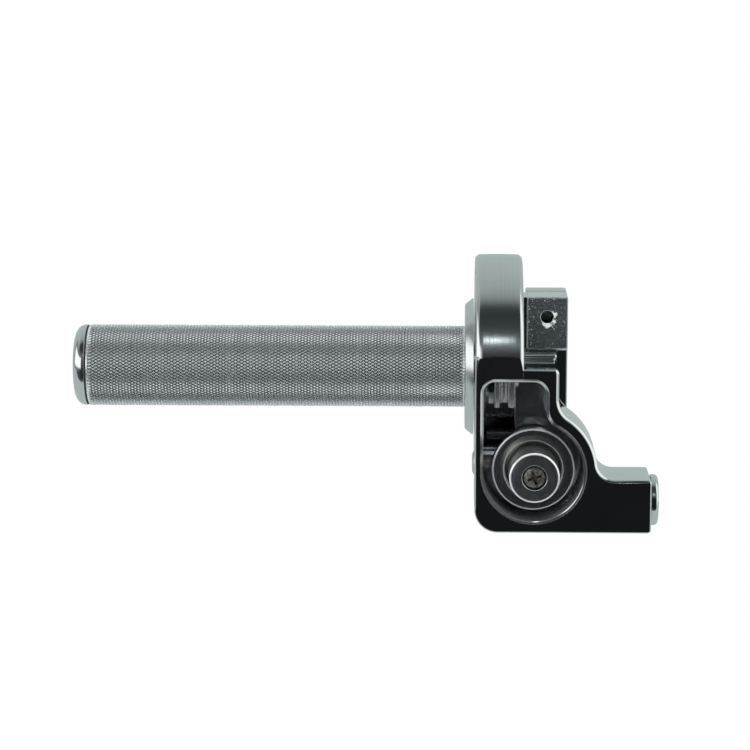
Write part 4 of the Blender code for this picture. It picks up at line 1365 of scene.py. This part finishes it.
def build_hub():
    profile = [
        (19.2, 2.2),
        (19.2, SHANK_R),
        (30.0, SHANK_R),
        (30.0, HUB_R - 0.3),
        (30.3, HUB_R),
        (HUB_FRONT - 0.55, HUB_R),
        (HUB_FRONT - 0.4, HUB_R - 0.06),
        (HUB_FRONT - 0.06, HUB_R - 0.4),
        (HUB_FRONT, HUB_R - 0.6),
        (HUB_FRONT, 4.1),
        (HUB_FRONT - 0.1, 4.0),
        (HUB_FRONT - 2.0, 4.0),
        (HUB_FRONT - 2.0, 2.2),
    ]
    hub = turned("pulley_hub_look", profile, axis="Y", at=POST, steps=100)
    piece(hub, "housing", polish_hub, hub_side, rim_light, pick=hub_finish)


def build_pulley_screw():
    """A domed screw with a cross recess."""
    profile = [
        (15.3, 0.0), (15.3, 1.5), (15.8, 2.0), (43.3, 2.0), (43.3, 3.8), (43.9, 3.8), (44.35, 3.62),
        (44.72, 3.2), (44.95, 2.6), (45.08, 1.8), (45.14, 0.9), (45.15, 0.0),
    ]
    screw = turned("pulley_screw_look", profile, axis="Y", at=POST, steps=50)
    # (along, across) points of one arm, wider in its middle
    shape = [
        (-2.3, -0.30), (-1.0, -0.48), (1.0, -0.48), (2.3, -0.30),
        (2.3, 0.30), (1.0, 0.48), (-1.0, 0.48), (-2.3, 0.30),
    ]
    for i, turn in enumerate((18.0, 108.0), 1):
        cosine, sine = around(turn, 1.0)
        slot = [(cosine * a - sine * b, sine * a + cosine * b) for a, b in shape]
        cut(screw, plate(f"cross_{i}", slot, "Y", -47.0, -43.75, at=POST))
    cone = [(43.2, 0.0), (44.9, 1.15), (47.0, 1.15), (47.0, 0.0)]
    cut(screw, turned("cross_cone", cone, axis="Y", at=POST, steps=20))
    piece(screw, "housing", stained)


def wheel_finish(poly):
    """1 for the sloping rims near the front, 0 elsewhere."""
    return 1 if 0.15 < abs(poly.normal.y) < 0.985 and poly.center.y < -27.0 * MM else 0


def build_wheel():
    profile = [
        (PULLEY_REAR, 5.05),
        (PULLEY_REAR, PULLEY_REAR_R - 0.2),
        (PULLEY_REAR + 0.15, PULLEY_REAR_R - 0.05),
        (PULLEY_REAR + 0.4, PULLEY_REAR_R),
        (22.3, PULLEY_REAR_R),
        (22.5, PULLEY_REAR_R - 0.2),
        (23.6, GROOVE_R + 0.4),
        (23.8, GROOVE_R + 0.1),
        (24.1, GROOVE_R),
        (25.1, GROOVE_R),
        (25.4, GROOVE_R + 0.1),
        (25.6, GROOVE_R + 0.4),
        (26.95, PULLEY_R - 0.25),
        (27.2, PULLEY_R),
        (PULLEY_FRONT - 0.55, PULLEY_R),
        (PULLEY_FRONT - 0.35, PULLEY_R - 0.06),
        (PULLEY_FRONT - 0.06, PULLEY_R - 0.35),
        (PULLEY_FRONT, PULLEY_R - 0.55),
        (PULLEY_FRONT, 9.75),
        (PULLEY_FRONT - 0.12, 9.5),
        (PULLEY_FRONT - 0.4, 9.3),
        (29.2, 9.3),
        (29.0, 9.1),
        (29.0, 5.05),
    ]
    wheel = turned("pulley_wheel_look", profile, axis="Y", at=POST, steps=110)
    piece(wheel, "pulley", polish_pulley, rim_light, pick=wheel_finish)


def build_pulley_rings():
    # name, body, material, inner and outer radius, rear and front height
    rings = [
        ("pulley_bush", "pulley", bronze, SHANK_R + 0.05, 5.0, 20.3, 29.1),
        ("pulley_washer_front", "housing", plated_pulley, SHANK_R + 0.1, 7.2, 29.25, 29.85),
        ("pulley_washer_rear", "housing", plated_pulley, SHANK_R + 0.1, 7.2, 19.3, 20.1),
    ]
    for name, body, material, *sizes in rings:
        piece(ring(name + "_look", *sizes, axis="Y", at=POST, steps=60), body, material)


# ================================================================ keeper screw and cable adjuster
def build_keeper():
    profile = [
        (-0.75, 0.0), (-0.75, 2.5), (-0.62, 3.1), (-0.35, 3.65), (0.1, 4.1),
        (0.5, 4.32), (0.8, 4.35), (1.0, 4.3), (1.05, 4.1), (1.05, 2.5),
    ]
    profile += thread(1.6, 5, [(0.0, 2.5), (0.4, 2.12)])
    profile += [(5.4, 2.3), (5.7, 1.9), (5.7, 1.2), (8.3, 1.2), (8.6, 0.9), (8.6, 0.0)]
    keeper = turned("keeper_screw_look", profile, at=KEEPER, steps=44)
    cut(keeper, plate("keeper_socket", hexagon(1.7), "X", -2.0, 0.7, at=KEEPER))
    piece(keeper, "housing", plated_keeper)


def build_adjuster():
    root, crest, rounding = ADJUSTER_R - 0.6, ADJUSTER_R, 1.3
    head, end = ADJUSTER_HEAD0, ADJUSTER_HEAD1
    ridge = [(0.0, root), (0.5, crest), (0.62, crest), (1.13, root)]
    profile = [(ADJUSTER_IN, 2.3), (ADJUSTER_IN, root)]
    profile += thread(ADJUSTER_IN + 0.3, 14, ridge, pitch=1.25)
    profile += [
        (head - 1.2, root),
        (head, root),
        (head, ADJUSTER_HEAD_R - 0.2),
        (head + 0.06, ADJUSTER_HEAD_R - 0.06),
        (head + 0.2, ADJUSTER_HEAD_R),
    ]
    profile += arc(end - rounding, ADJUSTER_HEAD_R - rounding, rounding, 90.0, 0.0, 9)[::1]
    profile += [
        (end, 3.9),
        (end - 0.12, 3.62),
        (end - 0.4, 3.5),
        (end - 10.0, 3.5),
        (end - 10.0, 2.3),
    ]
    adjuster = turned("cable_adjuster_look", profile, at=ADJUSTER, steps=90)
    piece(adjuster, "adjuster", polish_adjuster)
    liner = ring("adjuster_liner_look", 1.3, 2.2, 38.5, 51.0, at=ADJUSTER, steps=36)
    piece(liner, "adjuster_slider", acetal)


build_housing()
build_cover()
build_collar_rings()
build_stop_pins()
build_tube()
build_end_cap()
build_flange()
build_tube_bushes()
build_drum()
build_clamp_cap()
build_clamp_bolts()
build_hub()
build_pulley_screw()
build_wheel()
build_pulley_rings()
build_keeper()
build_adjuster()

# ================================================================ floor (metres from here on)
FLOOR_Z = -0.26
WHITE = (1.0, 1.0, 1.0)


def floor_material():
    """White to the camera; in the polish an even pale grey, as a lit paper sweep is."""
    material = blank_material("pale_floor")
    nodes = Nodes(material.node_tree)
    where = nodes.add("ShaderNodeTexCoord").outputs["Object"]
    output = nodes.add("ShaderNodeOutputMaterial")
    plain = nodes.add("ShaderNodeBsdfDiffuse")
    patches = nodes.fit(nodes.noise(where, scale=3.0), span=(0.3, 0.7))
    paper = nodes.mix(patches, (0.80, 0.80, 0.80), (0.84, 0.84, 0.84))
    nodes.put(plain.inputs["Color"], paper)
    lit = nodes.glow("ShaderNodeEmission", WHITE)
    seen = nodes.by_ray("Is Camera Ray", plain.outputs[0], lit)
    height = nodes.fit(nodes.xyz(where)[2], span=(FLOOR_Z, 0.6))
    grey = nodes.mix(height, (0.46, 0.52, 0.50), (0.445, 0.525, 0.505))
    sweep = nodes.glow("ShaderNodeEmission", grey)
    nodes.put(output.inputs[0], nodes.by_ray("Is Glossy Ray", seen, sweep))
    return material


def build_floor():
    """A floor that curves up into a backdrop."""
    back, bend = 2.6, 0.6
    rows = [(-0.30, FLOOR_Z), (back - bend, FLOOR_Z)]  # y, z
    for turn in (math.radians(angle) for angle in range(10, 91, 10)):
        rows.append((back - bend + bend * math.sin(turn), FLOOR_Z + bend - bend * math.cos(turn)))
    rows.append((back, 2.2))
    bm = bmesh.new()
    grid = [[bm.verts.new((x, y, z)) for x in (-2.4, 2.6)] for y, z in rows]
    for near, far in zip(grid, grid[1:]):
        bm.faces.new((near[0], near[1], far[1], far[0]))
    mesh = to_mesh("floor", bm)
    for poly in mesh.polygons:
        poly.use_smooth = True
    floor = bpy.data.objects.new("floor", mesh)
    mesh.materials.append(floor_material())
    bpy.context.scene.collection.objects.link(floor)


# ================================================================ world
# angle from the camera side (0 front, 90 up, 180 back, -90 down), brightness
BELT = [
    (-180.0, 0.44), (-120.0, 0.44), (-80.0, 0.38), (-56.0, 0.27), (-47.0, 0.18), (-38.0, 0.080),
    (-30.0, 0.024), (-24.0, 0.010), (12.0, 0.010), (20.0, 0.032), (26.0, 0.085), (31.0, 0.20),
    (38.0, 0.17), (43.0, 0.080), (50.0, 0.050), (62.0, 0.038), (70.0, 0.044), (75.0, 0.10),
    (80.0, 0.22), (88.0, 0.33), (100.0, 0.41), (130.0, 0.47), (180.0, 0.48),
]
# azimuth and elevation as (from, to, softness) in degrees, strength, colour
PATCHES = [
    # dark stand below the left card
    ((-80.0, -16.0, 8.0), (-30.0, -6.0, 5.0), 0.90, (0.040, 0.048, 0.066)),
    # dark edge round the left card
    ((-113.0, -14.0, 3.0), (-7.0, 42.0, 3.5), 0.75, (0.12, 0.13, 0.13)),
    # left card
    ((-104.0, -18.0, 2.5), (-1.0, 27.5, 2.5), 1.0, (1.23, 1.24, 1.22)),
    # right card
    ((65.0, 112.0, 6.0), (-16.0, 55.0, 6.0), 1.0, (1.05, 1.06, 1.06)),
]


def belt_colour(nodes, rise):
    """The tent's belt over the front, top and back: slightly green where bright, blue where dark."""
    ramp = nodes.add("ShaderNodeValToRGB")
    ramp.color_ramp.interpolation = "LINEAR"
    stops = ramp.color_ramp.elements
    while len(stops) > 1:
        stops.remove(stops[-1])
    for i, (angle, value) in enumerate(BELT):
        place = (angle + 180.0) / 360.0
        stop = stops[0] if i == 0 else stops.new(place)
        stop.position = place
        cast = (0.94, 1.07, 1.03) if value > 0.2 else (0.90, 1.0, 1.08)
        stop.color = (*(value * part for part in cast), 1)
    nodes.put(ramp.inputs[0], nodes.fit(rise, span=(-180.0, 180.0)))
    return ramp.outputs[0]


def between(nodes, value, low, high, soft):
    """1 between low and high, fading over the softness on either side of each."""
    rising = nodes.fit(value, span=(low - soft, low + soft), smooth=True)
    falling = nodes.fit(value, span=(high - soft, high + soft), to=(1.0, 0.0), smooth=True)
    return nodes.times(rising, falling)


def lamp_spot(nodes, turn, rise):
    """An oval spot above the camera: centre (-1, 36) degrees, half sizes 6 and 4.9."""
    across = nodes.times(nodes.plus(turn, 1.0), 1.0 / 6.0)
    along = nodes.times(nodes.minus(rise, 36.0), 1.0 / 4.9)
    squares = nodes.plus(nodes.times(across, across), nodes.times(along, along))
    return nodes.fit(nodes.math("SQRT", squares), span=(0.12, 1.0), to=(1.0, 0.0), smooth=True)


def tent_colour(nodes):
    x, y, z = nodes.xyz(nodes.add("ShaderNodeTexCoord").outputs["Generated"])
    front = nodes.times(y, -1.0)
    degrees = math.degrees(1.0)
    rise = nodes.times(nodes.math("ARCTAN2", z, front), degrees)
    # azimuth from the camera side, positive to the right, and elevation above the horizon
    turn = nodes.times(nodes.math("ARCTAN2", x, front), degrees)
    level = nodes.times(nodes.math("ARCSINE", z), degrees)
    belt = belt_colour(nodes, rise)
    # to the sides the belt gives way to the tent, brighter higher up
    height = nodes.fit(level, span=(-40.0, 25.0))
    tent = nodes.mix(height, (0.30, 0.335, 0.325), (0.42, 0.47, 0.455))
    tent = nodes.mix(nodes.fit(level, span=(30.0, 55.0), smooth=True), tent, (0.62, 0.68, 0.665))
    aside = nodes.fit(nodes.math("ABSOLUTE", x), span=(0.50, 0.82), smooth=True)
    colour = nodes.mix(aside, belt, tent)
    for azimuths, elevations, strength, patch in PATCHES:
        inside_patch = nodes.times(
            between(nodes, turn, *azimuths), between(nodes, level, *elevations)
        )
        if strength < 1.0:
            inside_patch = nodes.times(inside_patch, strength)
        colour = nodes.mix(inside_patch, colour, patch)
    return nodes.mix(lamp_spot(nodes, turn, rise), colour, (2.15, 2.4, 2.37))


def build_world():
    """White to the camera. To the metal it is a light tent with a white card on each side, a dark opening round the
    camera and one small bright lamp above it."""
    world = bpy.data.worlds.new("studio")
    world.use_nodes = True
    bpy.context.scene.world = world
    nodes = Nodes(world.node_tree)
    output = nodes.add("ShaderNodeOutputWorld")
    sky = nodes.glow("ShaderNodeBackground", tent_colour(nodes))
    plain = nodes.glow("ShaderNodeBackground", WHITE)
    nodes.put(output.inputs[0], nodes.by_ray("Is Camera Ray", sky, plain))


# ================================================================ camera and lamps
def aim(obj, direction):
    obj.rotation_mode = "QUATERNION"
    obj.rotation_quaternion = direction.to_track_quat("-Z", "Y")


def build_camera():
    """A long lens a little above the bar's level, looking at a point left of the collar."""
    azimuth, elevation, distance = math.radians(1.5), math.radians(10.0), 0.930
    target = Vector(shift(-33.0, 0.0, -3.1))
    level = math.cos(elevation)
    towards = Vector((math.sin(azimuth) * level, -math.cos(azimuth) * level, math.sin(elevation)))
    camera = bpy.data.objects.new("camera", bpy.data.cameras.new("camera"))
    bpy.context.scene.collection.objects.link(camera)
    camera.data.sensor_width = 36.0
    camera.data.lens = 133.92
    camera.data.clip_start, camera.data.clip_end = 0.05, 20.0
    camera.location = target + towards * distance
    aim(camera, -towards)
    bpy.context.scene.camera = camera


def lamp(name, where, width, depth, power, colour):
    """An area lamp aimed at the middle of the grip."""
    light = bpy.data.lights.new(name, "AREA")
    light.shape = "RECTANGLE"
    light.size, light.size_y = width, depth
    light.energy = power
    light.color = colour
    obj = bpy.data.objects.new(name, light)
    obj.location = where
    aim(obj, Vector((0.10, 0.0, 0.0)) - Vector(where))
    # the lamps only fill in the duller metal and plastic: the polish mirrors the tent alone
    obj.visible_glossy = False
    bpy.context.scene.collection.objects.link(obj)


build_floor()
build_world()
build_camera()
lamp(
    "front_fill", (0.20, -0.95, 0.45), width=0.5, depth=0.4, power=1.0, colour=(0.93, 0.98, 1.0)
)
lamp(
    "low_fill", (0.05, -0.60, -0.22), width=1.0, depth=0.2, power=2.6, colour=(0.93, 0.97, 1.0)
)
lamp(
    "overhead", (0.05, -0.10, 1.1), width=1.2, depth=0.8, power=25.0, colour=(0.97, 1.0, 1.0)
)
bpy.context.scene.view_settings.view_transform = "Standard"
bpy.context.scene.view_settings.look = "None"
